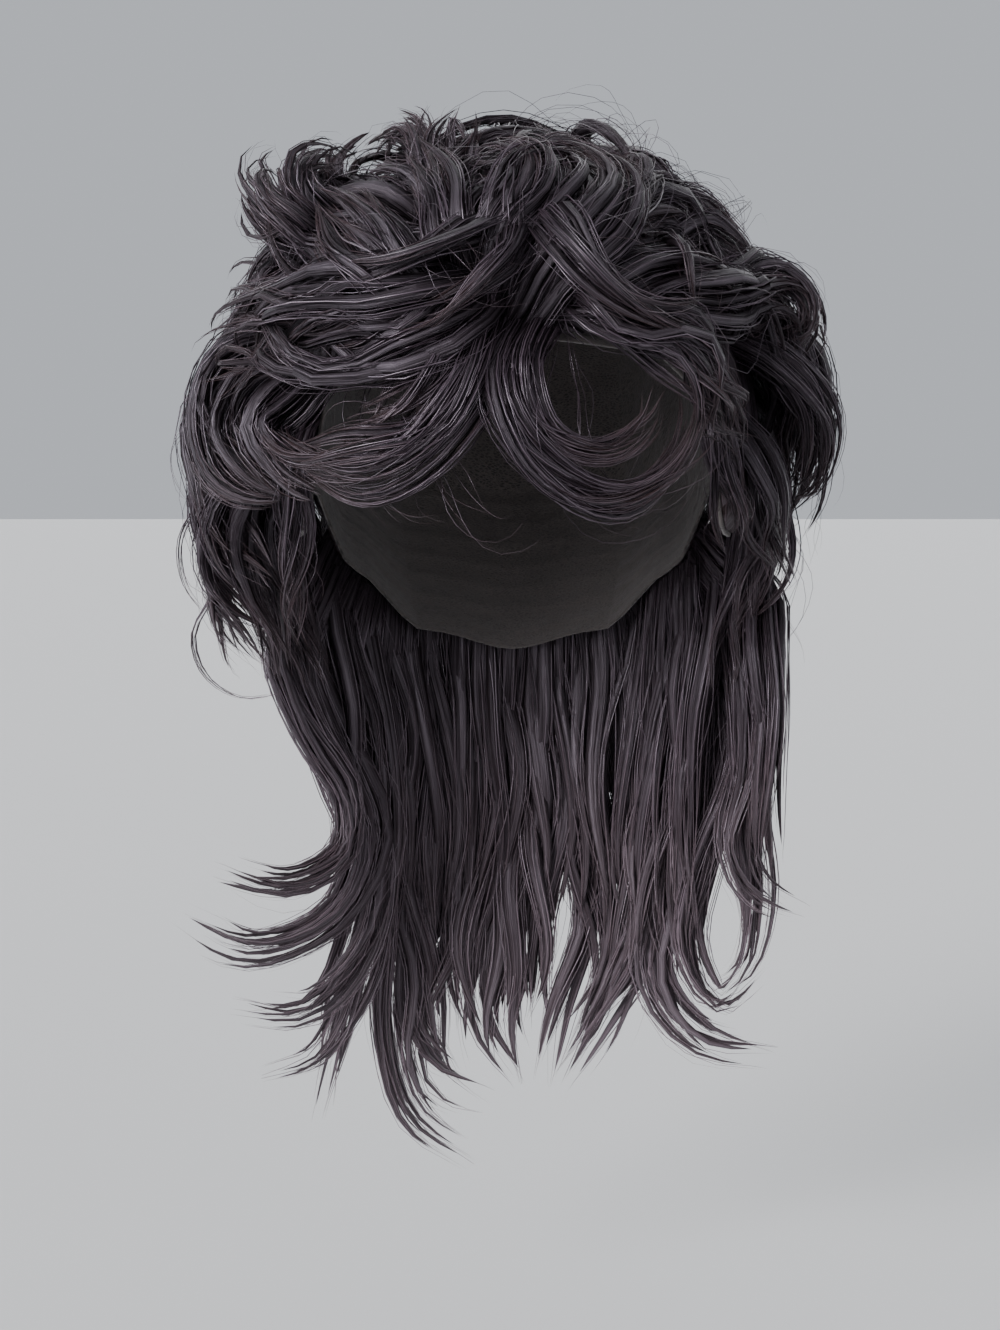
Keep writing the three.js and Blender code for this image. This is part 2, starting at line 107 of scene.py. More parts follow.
def mesh_piece(name, parts, material):
    """One smooth mesh object of several parts, each a tuple of points, arrays of faces and arrays of their
    texture places."""
    first = np.cumsum([0] + [len(part[0]) for part in parts[:-1]])
    faces = [face + start for start, part in zip(first, parts) for face in part[1]]
    corners = np.concatenate([face.ravel() for face in faces])
    sizes = np.concatenate([np.full(len(face), face.shape[1]) for face in faces])
    points = np.concatenate([part[0] for part in parts])
    mesh = bpy.data.meshes.new(name)
    mesh.vertices.add(len(points))
    mesh.vertices.foreach_set("co", points.astype(np.float32).ravel())
    mesh.loops.add(len(corners))
    mesh.loops.foreach_set("vertex_index", corners.astype(np.int32))
    mesh.polygons.add(len(sizes))
    mesh.polygons.foreach_set("loop_start", (np.cumsum(sizes) - sizes).astype(np.int32))
    mesh.update(calc_edges=True)
    mesh.polygons.foreach_set("use_smooth", np.ones(len(sizes), bool))
    layer = mesh.uv_layers.new(name="OFBake")
    places = np.concatenate([place.ravel() for part in parts for place in part[2]])
    layer.data.foreach_set("uv", places.astype(np.float32))
    mesh.materials.append(material)
    piece = bpy.data.objects.new(name, mesh)
    bpy.context.collection.objects.link(piece)
    return piece


def node(material, kind, *links, **values):
    """A shader node with its properties and sockets filled in. links are pairs of a socket number and what
    feeds it."""
    made = material.node_tree.nodes.new(kind)
    for key, value in values.items():
        if key in made.bl_rna.properties:
            setattr(made, key, value)
        else:
            made.inputs[key.replace("_", " ")].default_value = value
    for socket, feed in links:
        material.node_tree.links.new(feed, made.inputs[socket])
    return made


def net_material():
    """Matt knitted net: fine crossing yarns, a little uneven in tone, and near black between them, which is
    painted shade in the net's gaps.
    """
    material = bpy.data.materials.new("cap_net")
    material.use_nodes = True
    shader = material.node_tree.nodes["Principled BSDF"]
    shader.inputs["Roughness"].default_value = 0.8
    shader.inputs["Sheen Weight"].default_value = 0.2
    place = node(material, "ShaderNodeUVMap", uv_map="OFBake").outputs["UV"]
    stretch = node(material, "ShaderNodeMapping", (0, place))
    stretch.inputs["Scale"].default_value = (420.0, 260.0, 1.0)
    yarn = node(material, "ShaderNodeTexVoronoi", (0, stretch.outputs[0]), feature="DISTANCE_TO_EDGE",
                Scale=1.0)
    cloud = node(material, "ShaderNodeTexNoise", (0, place), Scale=30.0, Detail=4.0)
    thread = node(material, "ShaderNodeMapRange", (0, yarn.outputs["Distance"]), From_Max=0.3)
    tint = node(material, "ShaderNodeMix", (0, cloud.outputs["Fac"]), data_type="RGBA")
    tint.inputs[6].default_value = (0.045, 0.035, 0.033, 1)
    tint.inputs[7].default_value = (0.07, 0.056, 0.053, 1)
    # Painted shade: the cells between the yarns are near black.
    painted_gap_shade = node(material, "ShaderNodeMix", (0, thread.outputs[0]), (6, tint.outputs[2]), data_type="RGBA")
    painted_gap_shade.inputs[7].default_value = (0.010, 0.008, 0.008, 1)
    material.node_tree.links.new(painted_gap_shade.outputs[2], shader.inputs["Base Color"])
    bump = node(material, "ShaderNodeBump", ("Height", thread.outputs[0]), Strength=0.6, Distance=0.0004)
    bump.invert = True
    material.node_tree.links.new(bump.outputs["Normal"], shader.inputs["Normal"])
    return material


def head_wall(turns, downs, inner, outer, across_places):
    """A closed wall on the head. turns is a row of angles, downs a row of levels for each of them, and inner
    and outer are how far its two faces lie off the head. across_places is where each angle lies across the
    texture. A row of angles that comes round to its start makes a ring, and a first level of 0 a dome."""
    ring = turns[-1] - turns[0] > 359
    dome = downs[0].max() == 0
    turn, down = turns[: len(turns) - ring], downs[:, : len(turns) - ring]
    turn = np.broadcast_to(turn, down.shape)
    inner, outer = (np.broadcast_to(out, downs.shape)[:, : down.shape[1]] for out in (inner, outer))
    start = 1 if dome else 0
    sheets = np.stack([off_head(turn, down, out)[start:] for out in (inner, outer)])
    rows, columns = sheets.shape[1:3]
    index = np.arange(2 * rows * columns).reshape(2, rows, columns)
    place = np.stack(np.broadcast_arrays(
        np.linspace(start / len(downs), 1, rows)[:, None], across_places[None]
    ), axis=-1)
    if ring:
        index = np.concatenate([index, index[:, :, :1]], axis=2)
    grid = np.stack([index[:, :-1, :-1], index[:, 1:, :-1], index[:, 1:, 1:], index[:, :-1, 1:]], axis=-1)
    spot = np.stack([place[:-1, :-1], place[1:, :-1], place[1:, 1:], place[:-1, 1:]], axis=2)
    spot = spot.reshape(-1, 4, 2)
    faces = [grid[1].reshape(-1, 4), grid[0, ..., ::-1].reshape(-1, 4)]
    places = [spot, spot[:, ::-1]]

    def rim(line):
        low, high = index[0][line], index[1][line]
        at = place[line]
        faces.append(np.stack([high[:-1], low[:-1], low[1:], high[1:]], axis=-1))
        places.append(np.stack([at[:-1], at[:-1], at[1:], at[1:]], axis=1))

    rim(np.s_[-1, :])
    if not dome:
        rim(np.s_[0, ::-1])
    if not ring:
        rim(np.s_[::-1, -1])
        rim(np.s_[:, 0])
    points = sheets.reshape(-1, 3)
    if dome:
        poles = np.array([off_head(0.0, 0.0, float(out[0, 0])) for out in (inner, outer)])
        points = np.concatenate([points, poles])
        low, high, pole = index[0, 0], index[1, 0], len(points) - 2
        at = np.stack([place[0, :-1], place[0, 1:], place[0, :-1] * (0, 1)], axis=1)
        faces.append(np.stack([high[:-1], high[1:], np.full(len(high) - 1, pole + 1)], axis=-1))
        faces.append(np.stack([low[1:], low[:-1], np.full(len(low) - 1, pole)], axis=-1))
        places += [at, at[:, [1, 0, 2]]]
    return points, faces, places


cap_around = np.linspace(0, 360, 73)
cap_level = np.linspace(0, 1, 76)[:, None]
weft_tape = tape_height * np.clip(3 * np.sin(cap_level * tape_count * 2 * np.pi) - 1.6, 0, 1)
binding = binding_height * (cap_level > binding_start)
cap_inner = net_inner - 0.7 * weft_tape - 0.6 * binding
cap_down = edge_down(cap_around) * cap_level
cap_net = head_wall(cap_around, cap_down, cap_inner, net_outer + binding, cap_around / 360)
cap = mesh_piece("cap_shell", [cap_net], net_material())
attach(cap, "root")
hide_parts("cap")

# The crown
# Tousled curls of dark brown fibre, sewn to the cap in rows and rolled over the hairline. Each curl is a
# lock that parts into ribbons of many strands, and each ribbon runs out to a point.
lift_unit = 0.04
lock_width = 0.03
lock_depth = 0.015
root_depth = 0.004
strand_width = 0.0006
ribbon_sides = 6
ribbon_overlap = 1.35
ribbon_turn = 2.4
ribbon_clearance = 0.002
strand_clearance = (0.0022, 0.0042)
strand_swing = 0.0004
stray_swing = (0.0015, 0.006)
hair_clearance = 0.0012
least_foot = 0.006
row_depth = 0.009
mat_foot = 0.0019
mat_edge = 0.0026
dome_arc = 0.135
golden_turn = 137.5
chance = np.random.default_rng(7)


def hair_material():
    """Silky synthetic fibre, near black with a mauve-grey shine, streaked along each strand, a little warmer
    at the tips, and lighter and mauve in streaks down the tail, which is painted light. The lower half of the
    texture is for strands, and the upper half for the matter hair under them, darkened with painted shade."""
    material = bpy.data.materials.new("hair")
    material.use_nodes = True
    shader = material.node_tree.nodes["Principled BSDF"]
    place = node(material, "ShaderNodeUVMap", uv_map="OFBake").outputs["UV"]
    split = node(material, "ShaderNodeSeparateXYZ", (0, place))
    fine = node(material, "ShaderNodeMapping", (0, place), Scale=(4.0, 430.0, 1.0))
    streak = node(material, "ShaderNodeTexNoise", (0, fine.outputs[0]), Scale=1.0, Detail=4.0, Roughness=0.65)
    broad = node(material, "ShaderNodeMapping", (0, place), Scale=(1.5, 150.0, 1.0))
    family = node(material, "ShaderNodeTexNoise", (0, broad.outputs[0]), Scale=1.0, Detail=3.0)
    half = node(material, "ShaderNodeMath", (0, family.outputs["Fac"]), operation="MULTIPLY")
    half.inputs[1].default_value = 0.5
    both = node(material, "ShaderNodeMath", (0, streak.outputs["Fac"]), (2, half.outputs[0]),
                operation="MULTIPLY_ADD")
    both.inputs[1].default_value = 0.5
    ramp = node(material, "ShaderNodeValToRGB", (0, both.outputs[0]))
    ramp.color_ramp.elements[0].position = 0.4
    ramp.color_ramp.elements[0].color = (0.0035, 0.0026, 0.0033, 1)
    ramp.color_ramp.elements[1].position = 0.62
    ramp.color_ramp.elements[1].color = (0.052, 0.037, 0.048, 1)
    tip = node(material, "ShaderNodeMapRange", (0, split.outputs["X"]), From_Min=0.5, To_Max=0.35)
    warm = node(material, "ShaderNodeMix", (0, tip.outputs[0]), (6, ramp.outputs[0]), data_type="RGBA")
    warm.inputs[7].default_value = (0.085, 0.052, 0.05, 1)
    # Painted light: below a height of -0.12 the lighter streaks are blended towards pale mauve, so the lower
    # hair and the tail look lit brighter.
    spot = node(material, "ShaderNodeNewGeometry")
    level = node(material, "ShaderNodeSeparateXYZ", (0, spot.outputs["Position"]))
    tail = node(material, "ShaderNodeMapRange", (0, level.outputs["Z"]), From_Min=-0.12, From_Max=-0.34,
                To_Max=1.0)
    painted_tail_light = node(material, "ShaderNodeMath", (0, tail.outputs[0]), (1, both.outputs[0]), operation="MULTIPLY")
    light = node(material, "ShaderNodeMix", (0, painted_tail_light.outputs[0]), (6, warm.outputs[2]), data_type="RGBA")
    light.inputs[7].default_value = (0.195, 0.15, 0.176, 1)
    # Painted shade: hair in the upper half of the texture, the ribbons and root mats under the strands, is
    # dimmed to near black.
    under = node(material, "ShaderNodeMapRange", (0, split.outputs["Y"]), From_Min=0.499, From_Max=0.501,
                 To_Max=0.62)
    painted_under_shade = node(material, "ShaderNodeMix", (0, under.outputs[0]), (6, light.outputs[2]), data_type="RGBA")
    painted_under_shade.inputs[7].default_value = (0.003, 0.002, 0.0025, 1)
    material.node_tree.links.new(painted_under_shade.outputs[2], shader.inputs["Base Color"])
    shine = node(material, "ShaderNodeMix", (0, under.outputs[0]), data_type="RGBA")
    shine.inputs[6].default_value = (0.98, 0.89, 1.0, 1)
    shine.inputs[7].default_value = (0.74, 0.66, 0.75, 1)
    material.node_tree.links.new(shine.outputs[2], shader.inputs["Specular Tint"])
    glint = node(material, "ShaderNodeMapRange", (0, both.outputs[0]), From_Min=0.42, From_Max=0.62,
                 To_Max=1.0)
    material.node_tree.links.new(glint.outputs[0], shader.inputs["Specular IOR Level"])
    gloss = node(material, "ShaderNodeMapRange", (0, streak.outputs["Fac"]), To_Min=0.2, To_Max=0.36)
    matt = node(material, "ShaderNodeMath", (0, under.outputs[0]), (2, gloss.outputs[0]),
                operation="MULTIPLY_ADD")
    matt.inputs[1].default_value = 0.3
    material.node_tree.links.new(matt.outputs[0], shader.inputs["Roughness"])
    relief = node(material, "ShaderNodeMath", (0, streak.outputs["Fac"]), (1, under.outputs[0]),
                  operation="MULTIPLY")
    bump = node(material, "ShaderNodeBump", ("Height", relief.outputs[0]), Strength=1.0, Distance=0.0011)
    material.node_tree.links.new(bump.outputs["Normal"], shader.inputs["Normal"])
    return material


hair = hair_material()


def ease(share):
    share = np.clip(share, 0, 1)
    return share * share * (3 - 2 * share)


def smooth_curve(points, count):
    """A centripetal curve through points, as count points at equal steps along it, and its length."""
    points = np.asarray(points)
    points = np.vstack([2 * points[0] - points[1], points, 2 * points[-1] - points[-2]])
    t = np.arange(16)[:, None] / 16
    pieces = []
    for a, b, c, d in zip(points, points[1:], points[2:], points[3:]):
        ab, bc, cd = (np.sqrt(np.linalg.norm(q - p)) + 1e-9 for p, q in ((a, b), (b, c), (c, d)))
        leave = bc * ((b - a) / ab - (c - a) / (ab + bc) + (c - b) / bc)
        arrive = bc * ((c - b) / bc - (d - b) / (bc + cd) + (d - c) / cd)
        second, third = 3 * (c - b) - 2 * leave - arrive, 2 * (b - c) + leave + arrive
        pieces.append(b + leave * t + second * t**2 + third * t**3)
    line = np.vstack([*pieces, points[-2:-1]])
    length = np.concatenate([[0], np.cumsum(np.linalg.norm(np.diff(line, axis=0), axis=1))])
    steps = np.linspace(0, length[-1], count)
    return np.stack([np.interp(steps, length, line[:, i]) for i in range(3)], axis=1), length[-1]


def lock_path(root, route, steps=64):
    """A lock's centre line, with the ways across it and out of its flat side carried along it untwisted."""
    points = [off_head(*root, root_depth)]
    points += [off_head(turn, down, lift * lift_unit) for turn, down, lift in route]
    centre, length = smooth_curve(points, steps)
    tangent = unit(np.gradient(centre, axis=0))
    across = np.zeros_like(centre)
    across[0] = unit(np.cross(outward(*root), tangent[0]))
    for i in range(1, steps):
        across[i] = unit(across[i - 1] - tangent[i] * (across[i - 1] @ tangent[i]))
    return centre, across, np.cross(tangent, across), length


def keep_off_head(points, clearance):
    """Moves points that lie closer to the head than the clearance straight out to it."""
    x, y = points[..., 0] / (head_width / 2), points[..., 1] / (head_length / 2)
    z = points[..., 2] + crown_drop
    rise = np.maximum(z, 0) / crown_drop
    below = np.clip(-z / nape_drop, 0, 1)
    reach = (np.hypot(x, y) ** dome_squareness + rise**dome_squareness) ** (1 / dome_squareness)
    want = 1 + clearance / (0.45 * head_width) - nape_taper * below**2
    fade = 1 - ease((-z / nape_drop - 1) / 0.4)
    push = 1 + np.maximum(want / np.maximum(reach, 0.3) - 1, 0) * fade
    height = np.where(z > 0, z * push, z) - crown_drop
    return np.stack([points[..., 0] * push, points[..., 1] * push, height], axis=-1)


def tapered(sections, tips, tones, v_span):
    """Closed bodies, each a row of sections that ends in a point. The texture runs along each body, from
    its tone to a v_span more round it."""
    count, rings, sides = sections.shape[:3]
    points = np.concatenate([sections.reshape(count, -1, 3), tips[:, None]], axis=1).reshape(-1, 3)
    ring, k = (grid.ravel() for grid in np.meshgrid(np.arange(rings - 1), np.arange(sides), indexing="ij"))
    a, b = ring * sides + k, ring * sides + (k + 1) % sides
    quads = np.stack([a, b, b + sides, a + sides], axis=-1)
    quad_places = np.stack([[ring, ring, ring + 1, ring + 1], [k, k + 1, k + 1, k]], axis=-1)
    k = np.arange(sides)
    last = (rings - 1) * sides
    fans = np.stack([last + k, last + (k + 1) % sides, np.full(sides, last + sides)], axis=-1)
    end = k * 0 + rings
    fan_places = np.stack([[end - 1, end - 1, end], [k, k + 1, k + 0.5]], axis=-1)
    ends = k[None, ::-1]
    end_places = np.stack([k * 0, k], axis=-1)[None, ::-1]
    quad_places, fan_places = quad_places.transpose(1, 0, 2), fan_places.transpose(1, 0, 2)
    faces, places = [], []
    for corners, spots in ((quads, quad_places), (fans, fan_places), (ends, end_places)):
        start = np.arange(count)[:, None, None] * (rings * sides + 1)
        faces.append((start + corners).reshape(-1, corners.shape[1]))
        spots = spots * (1 / rings, v_span / sides) + np.stack([tones * 0, tones], axis=-1)[:, None, None]
        places.append(spots.reshape(-1, *spots.shape[2:]))
    return points, faces, places


def strand_sections(paths, widths):
    """Three-sided sections, flattened against the head, along strands."""
    tangent = unit(np.gradient(paths, axis=1))
    away = unit(paths * (1, 1, 0.6) + (0, 0, 0.6 * crown_drop))
    side = unit(np.cross(tangent, away))
    top = np.cross(tangent, side)
    t = np.linspace(0, 1, paths.shape[1])
    half = widths[:, None] / 2 * np.minimum(1, 0.5 + 5 * t) * (1 - t**3) ** 0.8
    turn = chance.uniform(0, 2 * np.pi, (len(paths), 1, 1)) + 2 * np.pi * np.arange(3) / 3
    section = side[:, :, None] * (np.cos(turn) * half[..., None])[..., None]
    section = section + top[:, :, None] * (np.sin(turn) * half[..., None] * 0.7)[..., None]
    return (paths[:, :, None] + section)[:, :-1]


def lock_parts(root, size, route, ribbons, strands, rings, wave=0.0025, wavelength=0.07, fan=0.55, loose=0.08,
               body=0.6, ends=(0.82, 1.0), fullness=2.6):
    """One lock as mesh parts: a few ribbons of hair that fill it, and the strands that lie on them. strands
    is the count for each ribbon, fan how far the ribbons keep apart at the tip, loose the share of strands
    that stray, body a ribbon's thickness beside its strands' spread, ends where along the lock ribbons end,
    and fullness how late they start to narrow."""
    centre, across, outer, length = lock_path(root, route)
    width, depth = size[0] * lock_width / 2, size[1] * lock_depth / 2
    steps = np.linspace(0, 1, len(centre))
    t = np.linspace(0, 1, rings)
    t = 0.55 * t + 0.45 * (1 - (1 - t) ** 2)
    along_head = np.cross(outward(*root), across[0])
    around = 2 * np.pi * np.arange(ribbon_sides) / ribbon_sides
    parts, paths, widths, tones = [], [], [], []
    share = min(1, ribbon_overlap / np.sqrt(ribbons))
    for c in range(ribbons):
        ribbon_width = share * width * chance.uniform(0.75, 1.2)
        ribbon_depth = share * max(depth, 0.35 * width) * chance.uniform(0.75, 1.1)
        spin, span = ribbon_turn * c + chance.uniform(-0.4, 0.4), np.sqrt(c / ribbons)
        a, b = span * np.cos(spin), span * np.sin(spin)
        reach = chance.uniform(*ends) if c else ends[1]
        beats = length / (wavelength * chance.uniform(0.8, 1.25))
        phase_a, phase_b = chance.uniform(0, 2 * np.pi, 2)
        sway = wave * chance.uniform(0.5, 1.5)
        tone = chance.uniform()

        def along_ribbon(s):
            """The middle of the ribbon, its ways across and out, and its girth, at shares s of the lock."""
            base, left, top = (
                np.stack([np.interp(s, steps, line[:, i]) for i in range(3)], axis=-1)
                for line in (centre, across, outer)
            )
            spread = np.minimum(1, 0.7 + s) * (fan + (1 - fan) * (1 - s**2.4))
            move = sway * ease(s * 2) * (0.6 + 0.8 * s)
            shift_a = a * width * spread + move * np.sin(2 * np.pi * beats * s + phase_a)
            shift_b = b * depth * spread + move * np.sin(2 * np.pi * beats * s + phase_b)
            girth = np.minimum(1, 0.55 + 2 * s) * (1 - np.clip(s / reach, 0, 1) ** fullness) ** 0.8
            return base + left * shift_a[..., None] + top * shift_b[..., None], left, top, girth

        def pull_to_root(lines, foot_a, foot_b):
            """Bends lines so that each starts on the cap at its own place of the row."""
            foot = foot_a[..., None] * across[0] + foot_b[..., None] * along_head
            foot = off_head(*root, hair_clearance) + foot
            away = (1 - ease(t / 0.3))[:, None]
            return lines + (foot[..., None, :] - lines[..., :1, :]) * away

        foot_a, foot_b = 0.75 * a * max(width, least_foot), 0.7 * b * row_depth
        if body:
            middle, left, top, girth = along_ribbon(t * reach * 0.97)
            girth = girth * (1 - 0.5 * t**2)
            middle = pull_to_root(middle, np.float64(foot_a), np.float64(foot_b))
            middle = keep_off_head(middle, ribbon_clearance + 0.7 * ribbon_depth * girth)
            ridge = 1 + 0.22 * chance.uniform(-1, 1, ribbon_sides)
            ridge = ridge + 0.08 * np.sin(t[:, None] * 9 + 2 * around)
            wide = np.cos(around) * ridge * (girth * body * ribbon_width)[:, None]
            thick = np.sin(around) * ridge * (girth * body * ribbon_depth)[:, None]
            section = left[:, None] * wide[..., None] + top[:, None] * thick[..., None]
            sections = keep_off_head(middle[:, None] + section, hair_clearance)
            # The ribbon's texture lies in the upper half, so it takes the painted shade of the hair under the
            # strands.
            parts.append(tapered(sections[None, :-1], middle[None, -1], np.array([0.5 + 0.42 * tone]), 0.06))
        drift = chance.uniform(-0.5, 0.5, (strands, 1))
        angle = chance.uniform(0, 2 * np.pi, (strands, 1))
        angle = angle + drift * np.sin(t * chance.uniform(2, 5, (strands, 1)))
        stray = chance.uniform(0, 1, strands) < loose
        far, near = chance.uniform(1.0, 1.7, strands), np.sqrt(chance.uniform(0.3, 1.15, strands))
        radius = np.where(stray, far, near)[:, None]
        s = np.minimum(t * reach * chance.uniform(0.75, 1.04, (strands, 1)), 1)
        middle, left, top, girth = along_ribbon(s)
        girth = np.maximum(girth, 0.12 * s)
        paths_now = middle + left * (np.cos(angle) * radius * girth * ribbon_width)[..., None]
        paths_now = paths_now + top * (np.sin(angle) * radius * girth * ribbon_depth)[..., None]
        curl = np.where(stray, chance.uniform(*stray_swing, strands), strand_swing)[:, None]
        for way in (left, top):
            beat, start = chance.uniform(0.8, 1.8, (strands, 1)), chance.uniform(0, 6.3, (strands, 1))
            swing = curl * ease(t * 1.5) * np.sin(beat * 2 * np.pi * t + start)
            paths_now = paths_now + way * swing[..., None]
        across_foot = foot_a + 0.4 * np.cos(angle[:, 0]) * max(width, least_foot)
        paths_now = pull_to_root(paths_now, across_foot, foot_b + 0.004 * np.sin(angle[:, 0]))
        paths.append(keep_off_head(paths_now, chance.uniform(*strand_clearance, (strands, 1))))
        widths.append(np.where(stray, 0.45, chance.uniform(0.7, 1.4, strands)) * strand_width)
        tones.append((tone + chance.uniform(-0.12, 0.18, strands)) % 0.98 / 2)
    paths = np.concatenate(paths)
    sections = strand_sections(paths, np.concatenate(widths))
    return parts + [tapered(sections, paths[:, -1], np.concatenate(tones), 0.005)]


def root_mat(turn_from, turn_to, down_from, down_to, depth):
    """The short hair at the roots, as a streaked mat on the cap that thins out to its edges."""
    turns = np.linspace(turn_from, turn_to, int((turn_to - turn_from) / 3) + 1)
    share = np.linspace(0, 1, 15)[:, None]
    down_to = np.minimum(edge_down(turns) - 0.02, down_to)
    downs = down_from + (down_to - down_from) * share
    width_share = np.linspace(0, 1, len(turns))
    ring = turn_to - turn_from > 359
    sides = 1 if ring else ease(np.minimum(width_share, 1 - width_share) * 8)
    ends = ease((1 - share) * 5) * (1 if down_from == 0 else ease(share * 5))
    streaks = chance.uniform(0.75, 1.1, len(turns))
    streaks[-1] = streaks[0]
    outer = mat_edge + depth * sides * ends * streaks
    # The mat's texture lies in the upper half, so it takes the painted shade of the hair under the strands.
    return head_wall(turns, downs, mat_foot, outer, 0.54 + 0.42 * np.abs((turns / 120) % 2 - 1))


def hair_piece(name, cad_node, parts):
    piece = mesh_piece(name, parts, hair)
    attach(piece, "root")
    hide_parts(cad_node)


def lock_group(locks, **manner):
    return [part for lock in locks for part in lock_parts(*lock, **manner)]


def loose_curls(count, spread, length, lifts, bend):
    """Small curls spread evenly over a share of the top of the head, each a row for lock_parts that turns as
    it goes."""
    curls = []
    for i in range(count):
        turn = golden_turn * i + chance.uniform(-8, 8)
        down = np.arccos(1 - (i + 0.7) / count * spread) / (np.pi / 2)
        heading = chance.normal(0, 0.6)
        curve = chance.choice([-1, 1]) * chance.uniform(*bend)
        reach, high = chance.uniform(*length), chance.uniform(*lifts)
        root, route = (turn, down), []
        for part in range(4):
            girth = head_width / 2 * max(np.sin(np.radians(90 * min(down, 1))), 0.25)
            turn += np.degrees(reach / 4 * np.sin(heading) / girth)
            down = max(down + reach / 4 * np.cos(heading) / dome_arc, 0.05)
            heading += curve / 4
            route.append((turn, down, high * (0.6, 1.0, 1.0, 0.8)[part]))
        curls.append((root, (chance.uniform(0.35, 0.6), chance.uniform(0.5, 0.8)), route))
    return curls


crown_locks = [
    ((-23, 0.55), (0.8, 1), [(-34, 0.57, 0.5), (-51, 0.57, 0.62), (-60, 0.56, 0.86),
        (-64, 0.5, 1.04)]),
    ((-36, 0.44), (0.9, 1), [(-47, 0.45, 0.5), (-58, 0.45, 0.6), (-58, 0.39, 0.74),
        (-48, 0.34, 0.76)]),
    ((-20, 0.42), (0.5, 0.7), [(-22, 0.34, 0.46), (-25, 0.29, 0.62), (-24, 0.25, 0.84)]),
    ((-3, 0.54), (1, 1.2), [(-8, 0.57, 0.46), (-4, 0.45, 0.46), (15, 0.33, 0.4), (34, 0.37, 0.34)]),
    ((12, 0.48), (0.9, 1.1), [(21, 0.51, 0.48), (33, 0.43, 0.5), (40, 0.36, 0.44),
        (31, 0.32, 0.34)]),
    ((35, 0.42), (1.2, 1.2), [(51, 0.46, 0.42), (64, 0.57, 0.46), (74, 0.68, 0.58)]),
    ((28, 0.56), (1, 1.2), [(39, 0.68, 0.44), (58, 0.67, 0.62), (71, 0.73, 0.78),
        (70, 0.82, 0.55)]),
    ((12, 0.57), (0.75, 0.9), [(20, 0.75, 0.5), (31, 0.81, 0.57), (42, 0.89, 0.5),
        (51, 0.98, 0.4)]),
    ((-8, 0.56), (1, 1.1), [(-22, 0.68, 0.56), (-39, 0.7, 0.66), (-57, 0.73, 0.8),
        (-69, 0.8, 0.9)]),
    ((-6, 0.58), (0.85, 1), [(-18, 0.78, 0.48), (-35, 0.8, 0.6), (-53, 0.78, 0.76),
        (-65, 0.87, 0.88)]),
    ((-44, 0.44), (1, 1.2), [(-55, 0.51, 0.56), (-71, 0.6, 0.6), (-81, 0.71, 0.78)]),
    ((-50, 0.2), (0.9, 1.1), [(-20, 0.22, 0.36), (18, 0.2, 0.4), (46, 0.27, 0.38),
        (58, 0.38, 0.36)]),
    ((30, 0.14), (0.9, 1), [(52, 0.24, 0.38), (62, 0.36, 0.44), (76, 0.48, 0.44), (86, 0.6, 0.48)]),
    ((-110, 0.16), (1, 1.1), [(-96, 0.29, 0.42), (-90, 0.43, 0.5), (-96, 0.6, 0.5),
        (-106, 0.7, 0.7)]),
    ((-160, 0.12), (1.1, 1.1), [(-135, 0.3, 0.4), (-124, 0.46, 0.48), (-122, 0.62, 0.5),
        (-114, 0.74, 0.68)]),
    ((110, 0.14), (1, 1.1), [(104, 0.3, 0.4), (98, 0.44, 0.48), (102, 0.6, 0.5), (97, 0.72, 0.66)]),
    ((150, 0.12), (1.1, 1.1), [(136, 0.3, 0.4), (127, 0.46, 0.48), (129, 0.62, 0.5),
        (121, 0.74, 0.7)]),
    ((176, 0.2), (1.2, 1.2), [(168, 0.36, 0.42), (158, 0.5, 0.5), (157, 0.66, 0.52),
        (147, 0.78, 0.72)]),
    ((-166, 0.26), (1.2, 1.2), [(-158, 0.42, 0.42), (-154, 0.56, 0.5), (-158, 0.68, 0.5),
        (-150, 0.82, 0.7)]),
    ((-176, 0.36), (1.1, 1.1), [(178, 0.52, 0.54), (172, 0.66, 0.54), (176, 0.78, 0.5),
        (168, 0.9, 0.72)]),
]
